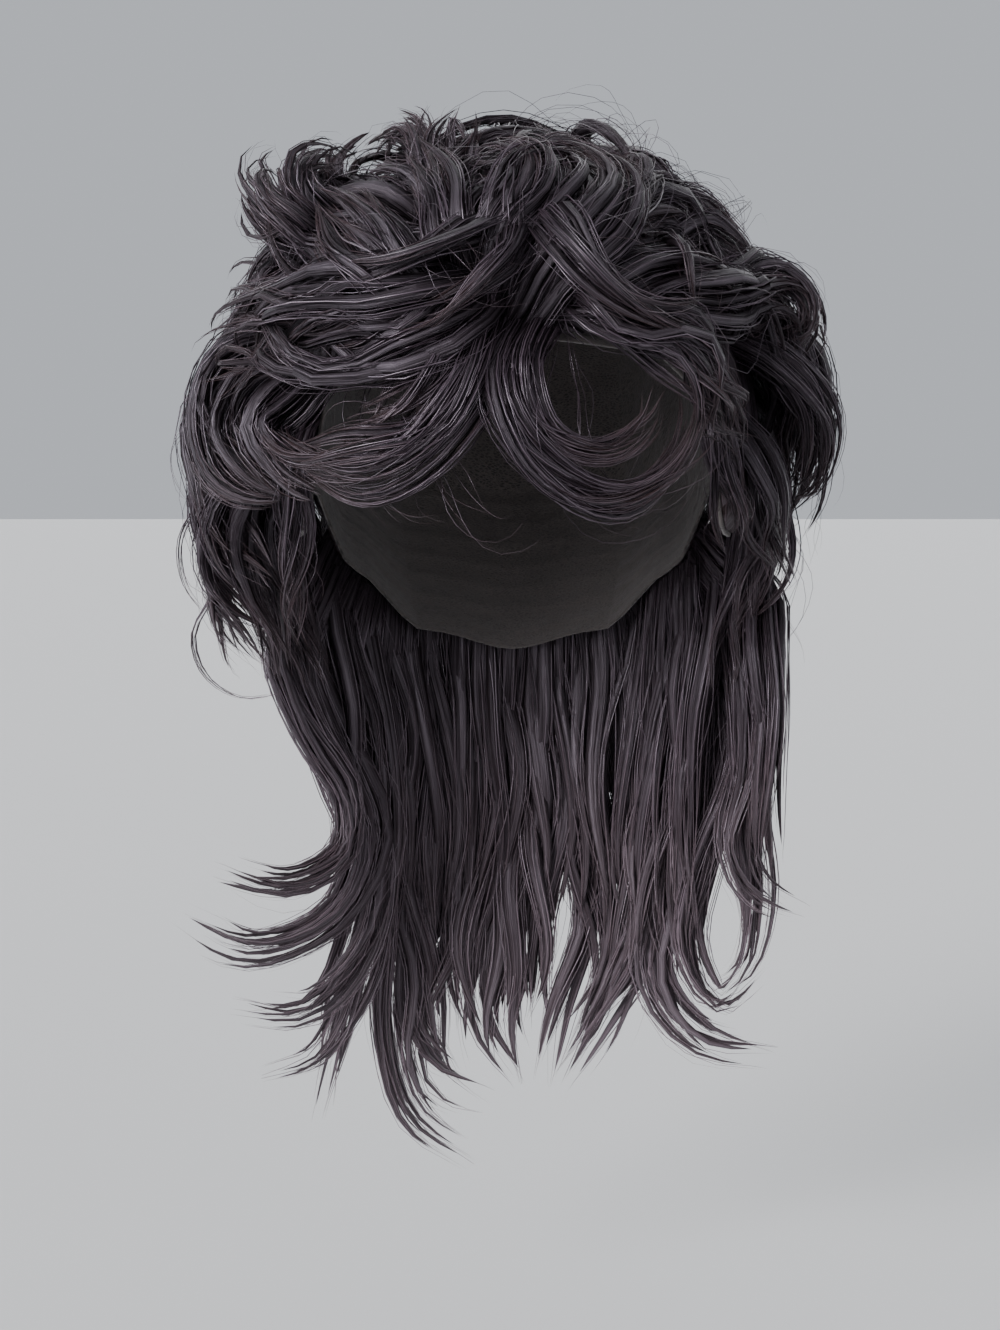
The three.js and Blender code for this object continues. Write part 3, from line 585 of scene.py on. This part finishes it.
crown_front_curls = [
    ((-51, 0.58), (0.5, 0.8), [(-57, 0.55, 0.9), (-61, 0.52, 1.09), (-64, 0.49, 1.21), (-64, 0.45, 1.16)]),
    ((-51, 0.5), (0.55, 0.8), [(-57, 0.47, 0.66), (-62, 0.44, 0.9), (-63, 0.4, 0.91), (-62, 0.37, 0.75)]),
    ((-52, 0.52), (0.4, 0.7), [(-58, 0.49, 0.8), (-62, 0.45, 0.99), (-63, 0.42, 1.06)]),
    ((-56, 0.6), (0.35, 0.6), [(-60, 0.58, 0.89), (-63, 0.55, 1.08), (-64, 0.52, 1.17)]),
    ((-34, 0.35), (0.3, 0.6), [(-39, 0.29, 0.45), (-46, 0.27, 0.7), (-53, 0.29, 0.74), (-56, 0.33, 0.59)]),
    ((-30, 0.32), (0.25, 0.5), [(-37, 0.27, 0.51), (-45, 0.25, 0.79), (-51, 0.27, 0.86)]),
    ((-13, 0.25), (0.4, 0.6), [(-13, 0.21, 0.41), (-2, 0.19, 0.47), (16, 0.19, 0.42)]),
    ((4, 0.29), (0.4, 0.6), [(14, 0.25, 0.46), (32, 0.27, 0.47), (42, 0.31, 0.38)]),
    ((-46, 0.55), (0.45, 0.6), [(-48, 0.54, 0.95), (-49, 0.5, 1.1), (-50, 0.46, 1.05), (-50, 0.42, 0.86),
        (-51, 0.42, 0.67)]),
    ((-45, 0.58), (0.45, 0.6), [(-46, 0.58, 0.94), (-49, 0.57, 1.13), (-51, 0.55, 1.23), (-53, 0.52, 1.21),
        (-54, 0.51, 1.08)]),
    ((-27, 0.43), (0.3, 0.5), [(-29, 0.37, 0.55), (-36, 0.32, 0.72), (-43, 0.3, 0.83), (-48, 0.31, 0.84)]),
    ((95, 0.1), (1.1, 1.2), [(75, 0.16, 0.42), (56, 0.24, 0.52), (44, 0.34, 0.46)]),
    ((-95, 0.1), (1.1, 1.2), [(-75, 0.16, 0.42), (-60, 0.26, 0.55), (-52, 0.38, 0.55)]),
    ((10, 0.04), (1.0, 1.2), [(6, 0.12, 0.38), (0, 0.2, 0.45), (-8, 0.3, 0.42)]),
    ((88, 0.3), (1.0, 1.1), [(80, 0.4, 0.42), (74, 0.52, 0.5), (78, 0.64, 0.52)]),
    ((-84, 0.3), (1.0, 1.1), [(-78, 0.4, 0.45), (-72, 0.5, 0.55), (-76, 0.62, 0.62)]),
    ((5, 0.64), (0.9, 1.2), [(-2, 0.58, 0.39), (3, 0.45, 0.45), (22, 0.34, 0.44), (40, 0.37, 0.35)]),
    ((-13, 0.66), (0.8, 1.0), [(-16, 0.6, 0.32), (-17, 0.47, 0.36), (-13, 0.34, 0.38), (2, 0.26, 0.4)]),
    ((19, 0.69), (1.0, 1.2), [(13, 0.64, 0.22), (21, 0.57, 0.32), (38, 0.52, 0.38), (55, 0.55, 0.42)]),
    ((12, 0.63), (0.9, 1.1), [(17, 0.69, 0.26), (28, 0.65, 0.39), (42, 0.64, 0.43), (55, 0.68, 0.46)]),
    ((-29, 0.49), (0.9, 1.2), [(-35, 0.48, 0.28), (-45, 0.48, 0.47), (-53, 0.53, 0.61), (-60, 0.59, 0.66)]),
    ((-23, 0.45), (0.8, 1.0), [(-32, 0.4, 0.32), (-45, 0.39, 0.5), (-54, 0.42, 0.6)]),
    ((43, 0.52), (0.7, 0.9), [(50, 0.47, 0.33), (61, 0.47, 0.53), (69, 0.55, 0.6), (70, 0.63, 0.55)]),
    ((29, 0.44), (0.7, 0.9), [(43, 0.42, 0.35), (57, 0.47, 0.49), (65, 0.54, 0.55)]),
    ((56, 0.6), (0.6, 1.0), [(68, 0.63, 0.73), (71, 0.7, 0.88), (71, 0.76, 0.81), (69, 0.78, 0.6)]),
    ((-9, 0.64), (0.6, 0.8), [(-18, 0.61, 0.33), (-27, 0.59, 0.39), (-35, 0.63, 0.46), (-40, 0.7, 0.51)]),
    ((-11, 0.68), (0.6, 0.8), [(-18, 0.7, 0.37), (-25, 0.73, 0.52), (-34, 0.77, 0.56), (-43, 0.77, 0.65)]),
    ((21, 0.7), (0.5, 0.8), [(27, 0.75, 0.3), (37, 0.79, 0.39), (48, 0.87, 0.38), (55, 0.94, 0.32)]),
]
spike = ((-22, 0.29), (0.12, 0.3), [(-30, 0.25, 0.51), (-31, 0.22, 0.75), (-27, 0.22, 0.68),
    (-20, 0.25, 0.36)])
crown_cross_curls = [
    ((-4, 0.5), (0.6, 0.7), [(-6, 0.57, 0.56), (-12, 0.63, 0.7), (-21, 0.67, 0.76), (-31, 0.67, 0.8),
        (-42, 0.69, 0.84)]),
    ((4, 0.48), (0.5, 0.7), [(6, 0.55, 0.56), (10, 0.63, 0.7), (17, 0.71, 0.72), (27, 0.76, 0.66),
        (37, 0.76, 0.6)]),
    ((-1, 0.52), (0.4, 0.6), [(0, 0.59, 0.58), (-1, 0.67, 0.7), (-7, 0.73, 0.7), (-15, 0.76, 0.64),
        (-24, 0.75, 0.66)]),
    ((165, 0.22), (0.8, 0.9), [(160, 0.12, 0.46), (20, 0.04, 0.54), (25, 0.16, 0.5), (50, 0.24, 0.46)]),
    ((-105, 0.18), (0.8, 0.9), [(-95, 0.08, 0.46), (80, 0.07, 0.54), (105, 0.18, 0.5), (135, 0.24, 0.46)]),
    ((115, 0.22), (0.8, 0.9), [(110, 0.12, 0.48), (-40, 0.05, 0.56), (-70, 0.17, 0.52), (-110, 0.22, 0.46)]),
]
crown_rolls = [
    ((-9, 0.65), (0.7, 0.9), [(-5, 0.59, 0.5), (0, 0.51, 0.62), (0, 0.43, 0.62), (-8, 0.38, 0.58),
        (-17, 0.38, 0.5)]),
    ((-6, 0.66), (0.8, 0.9), [(-1, 0.59, 0.5), (6, 0.52, 0.62), (8, 0.43, 0.62), (0, 0.36, 0.56),
        (-11, 0.36, 0.48)]),
    ((-2, 0.68), (0.8, 0.9), [(4, 0.62, 0.46), (12, 0.55, 0.6), (19, 0.46, 0.61), (16, 0.36, 0.54),
        (4, 0.29, 0.46)]),
    ((1, 0.7), (0.8, 0.9), [(9, 0.63, 0.4), (18, 0.57, 0.52), (26, 0.48, 0.56), (26, 0.38, 0.52),
        (19, 0.3, 0.44)]),
    ((-23, 0.72), (0.7, 0.9), [(-27, 0.69, 0.62), (-34, 0.64, 0.76), (-40, 0.59, 0.86), (-43, 0.56, 0.94)]),
    ((-18, 0.68), (0.7, 0.9), [(-24, 0.64, 0.54), (-31, 0.57, 0.66), (-38, 0.52, 0.76), (-44, 0.5, 0.86)]),
    ((-13, 0.65), (0.6, 0.9), [(-15, 0.58, 0.5), (-18, 0.5, 0.58), (-24, 0.41, 0.62), (-32, 0.36, 0.69)]),
]
crown_mat = root_mat(0, 360, 0, 0.74, 0.008)
curls = lock_group(crown_locks, ribbons=9, strands=7, rings=15, wave=0.004, wavelength=0.05, loose=0.15)
hair_piece("crown_curls", "crown", [crown_mat] + curls)
small_manner = dict(ribbons=7, strands=8, rings=13, wave=0.0022, loose=0.2, fullness=3.6)
top_curls = lock_group(crown_front_curls, **small_manner)
top_curls += lock_group(crown_cross_curls, ribbons=5, strands=8, rings=15, wave=0.002, loose=0.05)
top_curls += lock_parts(*spike, ribbons=1, strands=16, rings=20, wave=0.0004)
hair_piece("crown_top_curls", "crown", top_curls)
crown_drape = [
    ((side * turn, 0.47), (1.1, 1.2), [(side * (turn + 1), 0.58, 0.5), (side * (turn + 3), 0.7, 0.56),
        (side * (turn + 7), 0.86, 0.6), (side * (turn + 10), 1.06, 0.62)])
    for side in (-1, 1)
    for turn in (72, 87, 102)
]
rolled = lock_group(crown_rolls, ribbons=7, strands=9, rings=15, wave=0.0015, loose=0.15, fan=0.7)
rolled += lock_group(crown_drape, ribbons=5, strands=9, rings=13, wave=0.003, wavelength=0.05)
hair_piece("crown_rolls", "crown", rolled)
tousle = loose_curls(21, 0.42, (0.03, 0.055), (0.35, 0.52), (1.0, 3.5))
tousled = lock_group(tousle, ribbons=3, strands=8, rings=12, wave=0.002, loose=0.25)
frizz = loose_curls(30, 0.4, (0.025, 0.055), (0.45, 0.68), (0.5, 2.5))
tousled += lock_group(frizz, ribbons=1, strands=6, rings=14, wave=0.004, loose=1, body=0)
hair_piece("crown_tousle", "crown", tousled)

# The fringe
# A few fine locks that leave the hairline: one sweeps over the forehead to the left, and one curls round
# into a ring on the right. Their fibre is sewn in at the cap's front edge and set in its curl by heat.
fringe_sweep_locks = [
    ((-5, 0.66), (0.62, 0.7), [(-8, 0.85, 0.4), (-15, 0.94, 0.47), (-26, 0.98, 0.54),
        (-40, 0.97, 0.58), (-52, 0.93, 0.67)]),
    ((-14, 0.66), (0.3, 0.4), [(-14, 0.82, 0.42), (-21, 0.89, 0.43), (-32, 0.92, 0.47)]),
]
sweep_locks = lock_group(fringe_sweep_locks, ribbons=7, strands=18, rings=18, wave=0.002, fan=0.85, body=0.35)
hair_piece("fringe_swept_lock", "fringe_sweep", [root_mat(-44, 0, 0.6, 2, 0.005)] + sweep_locks)

fringe_ring_locks = [
    ((4, 0.68), (0.42, 0.55), [(-3, 0.85, 0.4), (1, 0.95, 0.46), (9, 1.01, 0.48), (19, 1.06, 0.46),
        (30, 0.98, 0.44), (37, 0.91, 0.44), (40, 0.83, 0.38)]),
    ((10, 0.68), (0.3, 0.4), [(2, 0.83, 0.38), (6, 0.93, 0.41), (16, 0.96, 0.4), (25, 0.92, 0.4),
        (28, 0.85, 0.38)]),
]
ring_locks = lock_group(fringe_ring_locks, ribbons=7, strands=16, rings=22, wave=0.0018, fan=0.85, body=0.4)
hair_piece("fringe_ring_curl", "fringe_ring", [root_mat(0, 44, 0.6, 2, 0.005)] + ring_locks)

sweep_wisps = [
    ((-11, 0.70), (0.12, 0.3), [(-12, 0.83, 0.32), (-16, 0.9, 0.44), (-21, 0.95, 0.49)]),
    ((-18, 0.70), (0.1, 0.2), [(-18, 0.83, 0.37), (-21, 0.89, 0.48), (-26, 0.93, 0.53)]),
    ((-25, 0.70), (0.1, 0.2), [(-23, 0.82, 0.35), (-25, 0.87, 0.44), (-28, 0.92, 0.49)]),
    ((-4, 0.71), (0.1, 0.2), [(-5, 0.85, 0.35), (-7, 0.92, 0.42), (-11, 0.96, 0.47)]),
    ((-11, 0.72), (0.1, 0.2), [(-7, 0.87, 0.37), (-1, 0.92, 0.42), (6, 0.95, 0.45)]),
]
ring_wisps = [
    ((1, 0.72), (0.12, 0.2), [(0, 0.86, 0.36), (2, 0.92, 0.42), (6, 0.96, 0.45)]),
]
stray_fringe = [
    ((-19, 0.74), (0.3, 0.3), [(-17, 0.93, 0.42), (-12, 1.09, 0.44), (-3, 1.23, 0.43), (4, 1.13, 0.44)]),
    ((-26, 0.73), (0.3, 0.3), [(-27, 0.91, 0.48), (-26, 1.0, 0.48), (-19, 1.18, 0.46), (-10, 1.13, 0.41)]),
    ((11, 0.73), (0.3, 0.3), [(10, 0.95, 0.43), (17, 1.18, 0.47), (27, 1.18, 0.47), (33, 0.99, 0.47)]),
]
wisp_manner = dict(ribbons=1, strands=12, rings=16, wave=0.001, body=0)
hair_piece("fringe_sweep_wisps", "fringe_sweep", lock_group(sweep_wisps, **wisp_manner))
strays = lock_group(stray_fringe, ribbons=1, strands=7, rings=20, wave=0.002, loose=1, body=0)
hair_piece("fringe_ring_wisps", "fringe_ring", lock_group(ring_wisps, **wisp_manner) + strays)

# The sides
# S-shaped waves that leave the temples, swell out over the ears and curl in below them. They hang from
# rows of fibre sewn to the sides of the cap.
side_left_locks = [
    ((-64, 0.68), (1.15, 1.2), [(-70, 0.8, 0.68), (-70, 0.88, 0.8), (-66, 0.96, 0.7),
        (-57, 1.01, 0.52), (-49, 1.06, 0.4)]),
    ((-80, 0.74), (1, 1.1), [(-83, 0.86, 0.68), (-80, 0.96, 0.8), (-76, 1.18, 0.76),
        (-69, 1.42, 0.58), (-63, 1.56, 0.44)]),
    ((-95, 0.86), (1.15, 1.2), [(-92, 0.98, 0.66), (-90, 1.26, 0.82), (-88, 1.64, 0.92),
        (-83, 1.9, 0.84), (-79, 2.01, 0.66)]),
    ((-58, 0.86), (0.4, 0.5), [(-52, 0.97, 0.35), (-55, 1.24, 0.3), (-59, 1.64, 0.38),
        (-60, 1.87, 0.46)]),
    ((-100, 0.72), (1.1, 1.2), [(-109, 0.88, 0.52), (-112, 1.06, 0.64), (-109, 1.48, 0.58),
        (-103, 1.84, 0.88)]),
]
side_right_locks = [
    ((55, 0.82), (0.55, 0.6), [(52, 0.94, 0.22), (58, 1.09, 0.22), (62, 1.34, 0.2)]),
    ((66, 0.66), (0.6, 0.9), [(69, 0.8, 0.6), (75, 0.9, 0.8), (81, 1.0, 0.74), (77, 1.14, 0.46)]),
    ((82, 0.62), (1, 1.2), [(86, 0.74, 0.62), (92, 0.86, 0.83), (97, 0.97, 0.78),
        (98, 1.31, 0.66)]),
    ((64, 0.86), (0.8, 1), [(65, 0.98, 0.34), (72, 1.24, 0.44), (79, 1.58, 0.64)]),
    ((100, 0.74), (1.1, 1.2), [(107, 0.88, 0.52), (111, 1.06, 0.66), (109, 1.48, 0.6),
        (103, 1.86, 0.95)]),
]
side_left_fill = [
    ((-72, 0.93), (1.0, 1.2), [(-72, 0.99, 0.44), (-77, 1.24, 0.61), (-81, 1.57, 0.61), (-81, 1.85, 0.49),
        (-84, 2.04, 0.51)]),
    ((-78, 0.84), (1.0, 1.2), [(-82, 0.9, 0.57), (-86, 0.99, 0.75), (-88, 1.41, 0.79), (-89, 1.75, 0.78),
        (-88, 2.02, 0.68)]),
    ((-59, 0.75), (1.0, 1.1), [(-64, 0.83, 0.53), (-65, 0.92, 0.67), (-58, 0.99, 0.5), (-50, 1.04, 0.25)]),
    ((-52, 0.76), (0.8, 1.0), [(-56, 0.87, 0.36), (-57, 0.92, 0.53), (-52, 0.98, 0.41), (-41, 1.0, 0.27)]),
    ((-96, 0.92), (1.0, 1.1), [(-99, 1.1, 0.36), (-103, 1.4, 0.42), (-107, 1.8, 0.46), (-109, 2.1, 0.4)]),
    ((-87, 0.95), (0.95, 1.1), [(-91, 1.19, 0.4), (-94, 1.5, 0.48), (-98, 1.82, 0.56), (-104, 2.06, 0.57)]),
]
side_left_wisps = [
    ((-92, 0.95), (0.1, 0.2), [(-92, 1.3, 0.7), (-92, 1.58, 0.94), (-94, 1.84, 1.35), (-94, 2.02, 1.37),
        (-92, 2.06, 1.02), (-90, 2.05, 0.6)]),
    ((-90, 0.9), (0.08, 0.2), [(-92, 1.08, 0.92), (-93, 1.3, 1.17), (-93, 1.53, 1.21), (-90, 1.69, 1.08)]),
]
side_right_fill = [
    ((96, 0.92), (1.0, 1.1), [(99, 1.1, 0.36), (103, 1.4, 0.42), (107, 1.8, 0.46), (108, 2.1, 0.5)]),
    ((84, 0.9), (0.8, 1), [(88, 1.02, 0.35), (92, 1.25, 0.42), (96, 1.6, 0.48), (99, 1.9, 0.5)]),
    ((74, 0.62), (1.1, 1.3), [(79, 0.73, 0.52), (84, 0.82, 0.6), (87, 0.92, 0.56), (88, 1.06, 0.46),
        (88, 1.28, 0.4)]),
]
left_waves = lock_group(side_left_locks + side_left_fill, ribbons=8, strands=9, rings=16, loose=0.15)
left_waves += lock_group(side_left_wisps, ribbons=1, strands=8, rings=20, wave=0.0005, body=0, loose=0.1)
right_waves = lock_group(side_right_locks + side_right_fill, ribbons=8, strands=9, rings=16, loose=0.15)
hair_piece("side_waves_left", "side_left", [root_mat(-116, -44, 0.6, 2, 0.008)] + left_waves)
hair_piece("side_waves_right", "side_right", [root_mat(44, 116, 0.6, 2, 0.008)] + right_waves)

# The back
# Layered waves over the back of the head, which hang onto the tail. Their fibre is sewn to the cap in
# level rows, each of which covers the next one's roots.
back_waves_locks = [
    ((178, 0.7), (1.2, 1.1), [(177, 0.84, 0.5), (174, 1.04, 0.58), (170, 1.5, 0.5),
        (164, 1.86, 0.8)]),
    ((154, 0.66), (1.2, 1.1), [(150, 0.82, 0.52), (147, 1.02, 0.6), (149, 1.5, 0.52),
        (143, 1.84, 0.84)]),
    ((-156, 0.68), (1.2, 1.1), [(-154, 0.82, 0.52), (-150, 1.04, 0.6), (-154, 1.56, 0.52),
        (-147, 1.9, 0.84)]),
    ((128, 0.66), (1.2, 1.2), [(127, 0.82, 0.52), (124, 1.0, 0.62), (127, 1.46, 0.54),
        (121, 1.78, 0.9)]),
    ((-129, 0.66), (1.2, 1.2), [(-129, 0.82, 0.52), (-126, 1.02, 0.62), (-129, 1.46, 0.54),
        (-124, 1.8, 0.9)]),
]
back_fill = [
    ((166, 0.9), (1.1, 1.1), [(164, 1.1, 0.48), (160, 1.5, 0.46), (157, 1.9, 0.6)]),
    ((-167, 0.9), (1.1, 1.1), [(-168, 1.1, 0.48), (-165, 1.5, 0.46), (-160, 1.95, 0.6)]),
    ((140, 0.9), (1.1, 1.1), [(138, 1.1, 0.48), (140, 1.5, 0.46), (136, 1.9, 0.62)]),
    ((-142, 0.9), (1.1, 1.1), [(-140, 1.1, 0.48), (-143, 1.5, 0.46), (-138, 1.9, 0.62)]),
]
back_hair = lock_group(back_waves_locks + back_fill, ribbons=9, strands=10, rings=15)
hair_piece("back_waves_hair", "back_waves", [root_mat(116, 244, 0.6, 1.14, 0.009)] + back_hair)

# The tail
# The long hair of the nape, sewn to the cap's lowest rows. The outer locks flip out at their tips, and
# the middle ones curl under.
tail_left_locks = [
    ((-119, 1.3), (0.85, 0.85), [(-106, 1.92, 0.7), (-106, 2.14, 0.49), (-109, 2.27, 0.16),
        (-107, 2.37, 0.18), (-99, 2.42, 0.6), (-92, 2.37, 1.28)]),
    ((-122, 1.44), (1, 1), [(-114, 2.0, 0.7), (-118, 2.2, 0.44), (-122, 2.36, 0.2),
        (-115, 2.5, 0.4), (-103, 2.55, 1.03), (-98, 2.47, 1.72)]),
    ((-128, 1.48), (0.9, 0.85), [(-120, 2.06, 0.68), (-130, 2.33, 0.36), (-127, 2.56, 0.34),
        (-117, 2.69, 0.72), (-107, 2.68, 1.34)]),
    ((-134, 1.54), (0.7, 0.75), [(-131, 2.1, 0.62), (-137, 2.4, 0.48), (-132, 2.68, 0.6),
        (-125, 2.82, 0.84), (-116, 2.85, 1.26)]),
    ((-138, 1.54), (0.7, 0.75), [(-138, 2.14, 0.6), (-140, 2.46, 0.58), (-134, 2.72, 0.84),
        (-128, 2.97, 0.98)]),
    ((-143, 1.6), (0.7, 0.75), [(-145, 2.18, 0.6), (-147, 2.54, 0.68), (-146, 2.8, 0.73),
        (-150, 2.98, 0.52), (-166, 3.07, 0.08)]),
]
tail_back_locks = [
    ((-153, 1.54), (0.85, 0.8), [(-155, 2.0, 0.62), (-155, 2.32, 0.64), (-153, 2.66, 0.66),
        (-156, 2.88, 0.46), (-172, 2.95, 0.1)]),
    ((-166, 1.54), (0.9, 0.8), [(-165, 2.0, 0.6), (-165, 2.32, 0.6), (-161, 2.62, 0.65),
        (-156, 2.78, 0.62), (-165, 2.88, 0.2)]),
    ((180, 1.6), (1, 0.9), [(180, 2.04, 0.6), (-179, 2.33, 0.58), (-176, 2.62, 0.57),
        (-174, 2.8, 0.48), (178, 2.92, 0.24)]),
    ((166, 1.54), (0.9, 0.8), [(165, 2.0, 0.6), (164, 2.32, 0.62), (158, 2.6, 0.63),
        (162, 2.79, 0.38), (168, 2.91, 0.12)]),
    ((153, 1.54), (0.85, 0.8), [(153, 2.0, 0.64), (151, 2.32, 0.74), (146, 2.6, 0.8),
        (152, 2.77, 0.5), (165, 2.89, 0.1)]),
    ((172, 1.7), (1.1, 1.0), [(174, 2.33, 0.55), (175, 2.62, 0.52), (178, 2.81, 0.41)]),
    ((-169, 1.7), (1.0, 1.0), [(-172, 2.32, 0.54), (-168, 2.62, 0.54), (-170, 2.83, 0.35)]),
]
tail_right_locks = [
    ((119, 1.24), (0.8, 0.8), [(107, 1.62, 0.64), (94, 1.94, 0.76), (93, 2.11, 0.86),
        (97, 2.3, 0.86), (98, 2.43, 0.86)]),
    ((121, 1.34), (0.75, 0.8), [(110, 1.76, 0.62), (103, 2.02, 0.8), (105, 2.19, 0.77),
        (107, 2.35, 0.66), (102, 2.44, 0.84), (97, 2.48, 1.28)]),
    ((126, 1.34), (0.8, 0.8), [(118, 1.8, 0.7), (112, 2.08, 0.86), (112, 2.32, 0.94),
        (110, 2.48, 0.96), (110, 2.61, 0.83), (113, 2.66, 0.5)]),
    ((132, 1.44), (0.85, 0.85), [(124, 1.94, 0.72), (119, 2.14, 0.88), (124, 2.41, 0.7),
        (123, 2.59, 0.58), (117, 2.69, 0.75), (111, 2.61, 1.14)]),
    ((141, 1.48), (0.9, 0.85), [(135, 1.96, 0.7), (128, 2.18, 0.9), (134, 2.47, 0.66),
        (134, 2.66, 0.52), (124, 2.77, 0.72), (113, 2.8, 1.3)]),
    ((129, 1.45), (1.0, 1.0), [(134, 2.1, 0.57), (136, 2.3, 0.52), (138, 2.51, 0.37), (137, 2.68, 0.17)]),
    ((121, 1.45), (1.0, 1.0), [(127, 2.09, 0.63), (130, 2.3, 0.61), (130, 2.5, 0.52), (123, 2.67, 0.56)]),
]
tail_left_cover = [
    ((-turn, 1.2), (0.9, 0.9), [(-turn, 1.45, 0.3), (-turn + 3, 1.8, 0.38), (-turn, 2.15, 0.38),
        (-turn - 3, 2.4, 0.34), (-turn, 2.6, 0.36)])
    for turn in (128, 139)
]
tail_back_cover = [
    ((turn, 1.2), (1.0, 1.0), [(turn, 1.45, 0.36), (turn + 3, 1.8, 0.46), (turn, 2.15, 0.5),
        (turn - 3, 2.4, 0.48), (turn, 2.62, 0.45)])
    for turn in (154, 167, 180, 193, 206)
]
tail_right_cover = [
    ((turn, 1.2), (0.9, 0.9), [(turn, 1.45, 0.34), (turn - 3, 1.8, 0.44), (turn, 2.15, 0.46),
        (turn + 3, 2.4, 0.44), (turn, 2.6, 0.42)])
    for turn in (120, 131, 142)
]
tail_manner = dict(ribbons=8, strands=10, rings=17, wavelength=0.12, fan=0.8, loose=0.1, ends=(0.9, 1.0),
                   fullness=5)
cover_manner = dict(tail_manner, ribbons=6, strands=8, rings=15, wave=0.003, fullness=3)
for name, cad_node, locks, cover, turns, wave in (
    ("tail_hair_left", "tail_left", tail_left_locks, tail_left_cover, (-149, -116), 0.0015),
    ("tail_hair_back", "tail_back", tail_back_locks, tail_back_cover, (149, 211), 0.0035),
    ("tail_hair_right", "tail_right", tail_right_locks, tail_right_cover, (116, 149), 0.0022),
):
    hanging = lock_group(locks, wave=wave, **tail_manner) + lock_group(cover, **cover_manner)
    hair_piece(name, cad_node, [root_mat(*turns, 1.14, 2, 0.007)] + hanging)

# The flyaway hair
# Single strands that have sprung loose of the curls, most of them over the crown and some at the sides.
# They are of the same fibre, and sewn to the cap with it.
flyaways_left = [
    ((-86, 0.86), (0.25, 0.3), [(-88, 1.0, 0.8), (-90, 1.25, 1.0), (-88, 1.5, 1.05), (-84, 1.7, 0.9)]),
    ((-74, 0.8), (0.25, 0.3), [(-76, 0.9, 0.85), (-74, 1.0, 1.0), (-68, 1.15, 0.9)]),
]
flyaways_right = [
    ((88, 0.84), (0.25, 0.3), [(92, 1.0, 0.85), (96, 1.2, 0.95), (100, 1.4, 1.0), (99, 1.6, 0.95)]),
    ((102, 1.0), (0.25, 0.3), [(104, 1.3, 0.7), (102, 1.6, 0.9), (98, 1.85, 1.0), (96, 2.05, 1.0)]),
]
flyaways_crown = loose_curls(27, 0.34, (0.03, 0.06), (0.55, 0.78), (0.5, 2.2))
flyaway_manner = dict(ribbons=1, strands=5, rings=16, wave=0.0012, loose=1, body=0)
for name, cad_node, flyaways in (
    ("crown_flyaways", "crown", flyaways_crown),
    ("side_flyaways_left", "side_left", flyaways_left),
    ("side_flyaways_right", "side_right", flyaways_right),
):
    hair_piece(name, cad_node, lock_group(flyaways, **flyaway_manner))

# The floor, the light and the camera
# The wig is held up over a plain pale floor, in soft light from the left, and seen from the front. The floor
# runs far back, so that it ends near the level of the eye.
floor_level = -0.46
floor_reach = 60
square = ((-1, -1), (1, -1), (1, 1), (-1, 1))
floor_corners = [(x * floor_reach, y * floor_reach, floor_level) for x, y in square]
floor_mesh = bpy.data.meshes.new("floor")
floor_mesh.from_pydata(floor_corners, [], [(0, 1, 2, 3)])
floor = bpy.data.objects.new("floor", floor_mesh)
bpy.context.collection.objects.link(floor)
pale = bpy.data.materials.new("pale_floor")
pale.use_nodes = True
pale_shader = pale.node_tree.nodes["Principled BSDF"]
pale_shader.inputs["Base Color"].default_value = (0.54, 0.54, 0.54, 1)
pale_shader.inputs["Roughness"].default_value = 0.9
floor_mesh.materials.append(pale)

world = bpy.data.worlds.new("studio")
world.use_nodes = True
glow = world.node_tree.nodes["Background"]
glow.inputs["Color"].default_value = (0.85, 0.89, 0.96, 1)
glow.inputs["Strength"].default_value = 0.62
bpy.context.scene.world = world


def soft_light(name, place, spread, strength, colour):
    """Far-off light from the way of a place, spread over an angle in degrees."""
    light = bpy.data.lights.new(name, "SUN")
    light.angle = np.radians(spread)
    light.energy = strength
    light.color = colour
    lamp = bpy.data.objects.new(name, light)
    lamp.location = place
    lamp.rotation_euler = (-Vector(place)).to_track_quat("-Z", "Y").to_euler()
    bpy.context.collection.objects.link(lamp)


soft_light("window", (-1.0, -1.3, 0.8), 24, 3.1, (1.0, 0.985, 0.99))
soft_light("low_window", (-1.2, -1.2, 0.1), 40, 4.0, (0.98, 0.98, 1.0))
soft_light("side", (-1.5, -0.35, 0.05), 50, 5.0, (0.93, 0.95, 1.0))
soft_light("fill", (1.0, -1.3, 0.15), 60, 1.8, (0.96, 0.98, 1.0))
soft_light("back", (0.3, 1.2, 0.6), 70, 1.7, (0.98, 0.99, 1.0))

camera_pitch = 4.68
camera = bpy.data.objects.new("camera", bpy.data.cameras.new("camera"))
camera.data.lens = 51.92
camera.location = (-0.005, -0.7, -0.108)
camera.rotation_euler = (np.radians(90 - camera_pitch), 0, 0)
camera.data.clip_start = 0.01
bpy.context.collection.objects.link(camera)
bpy.context.scene.camera = camera
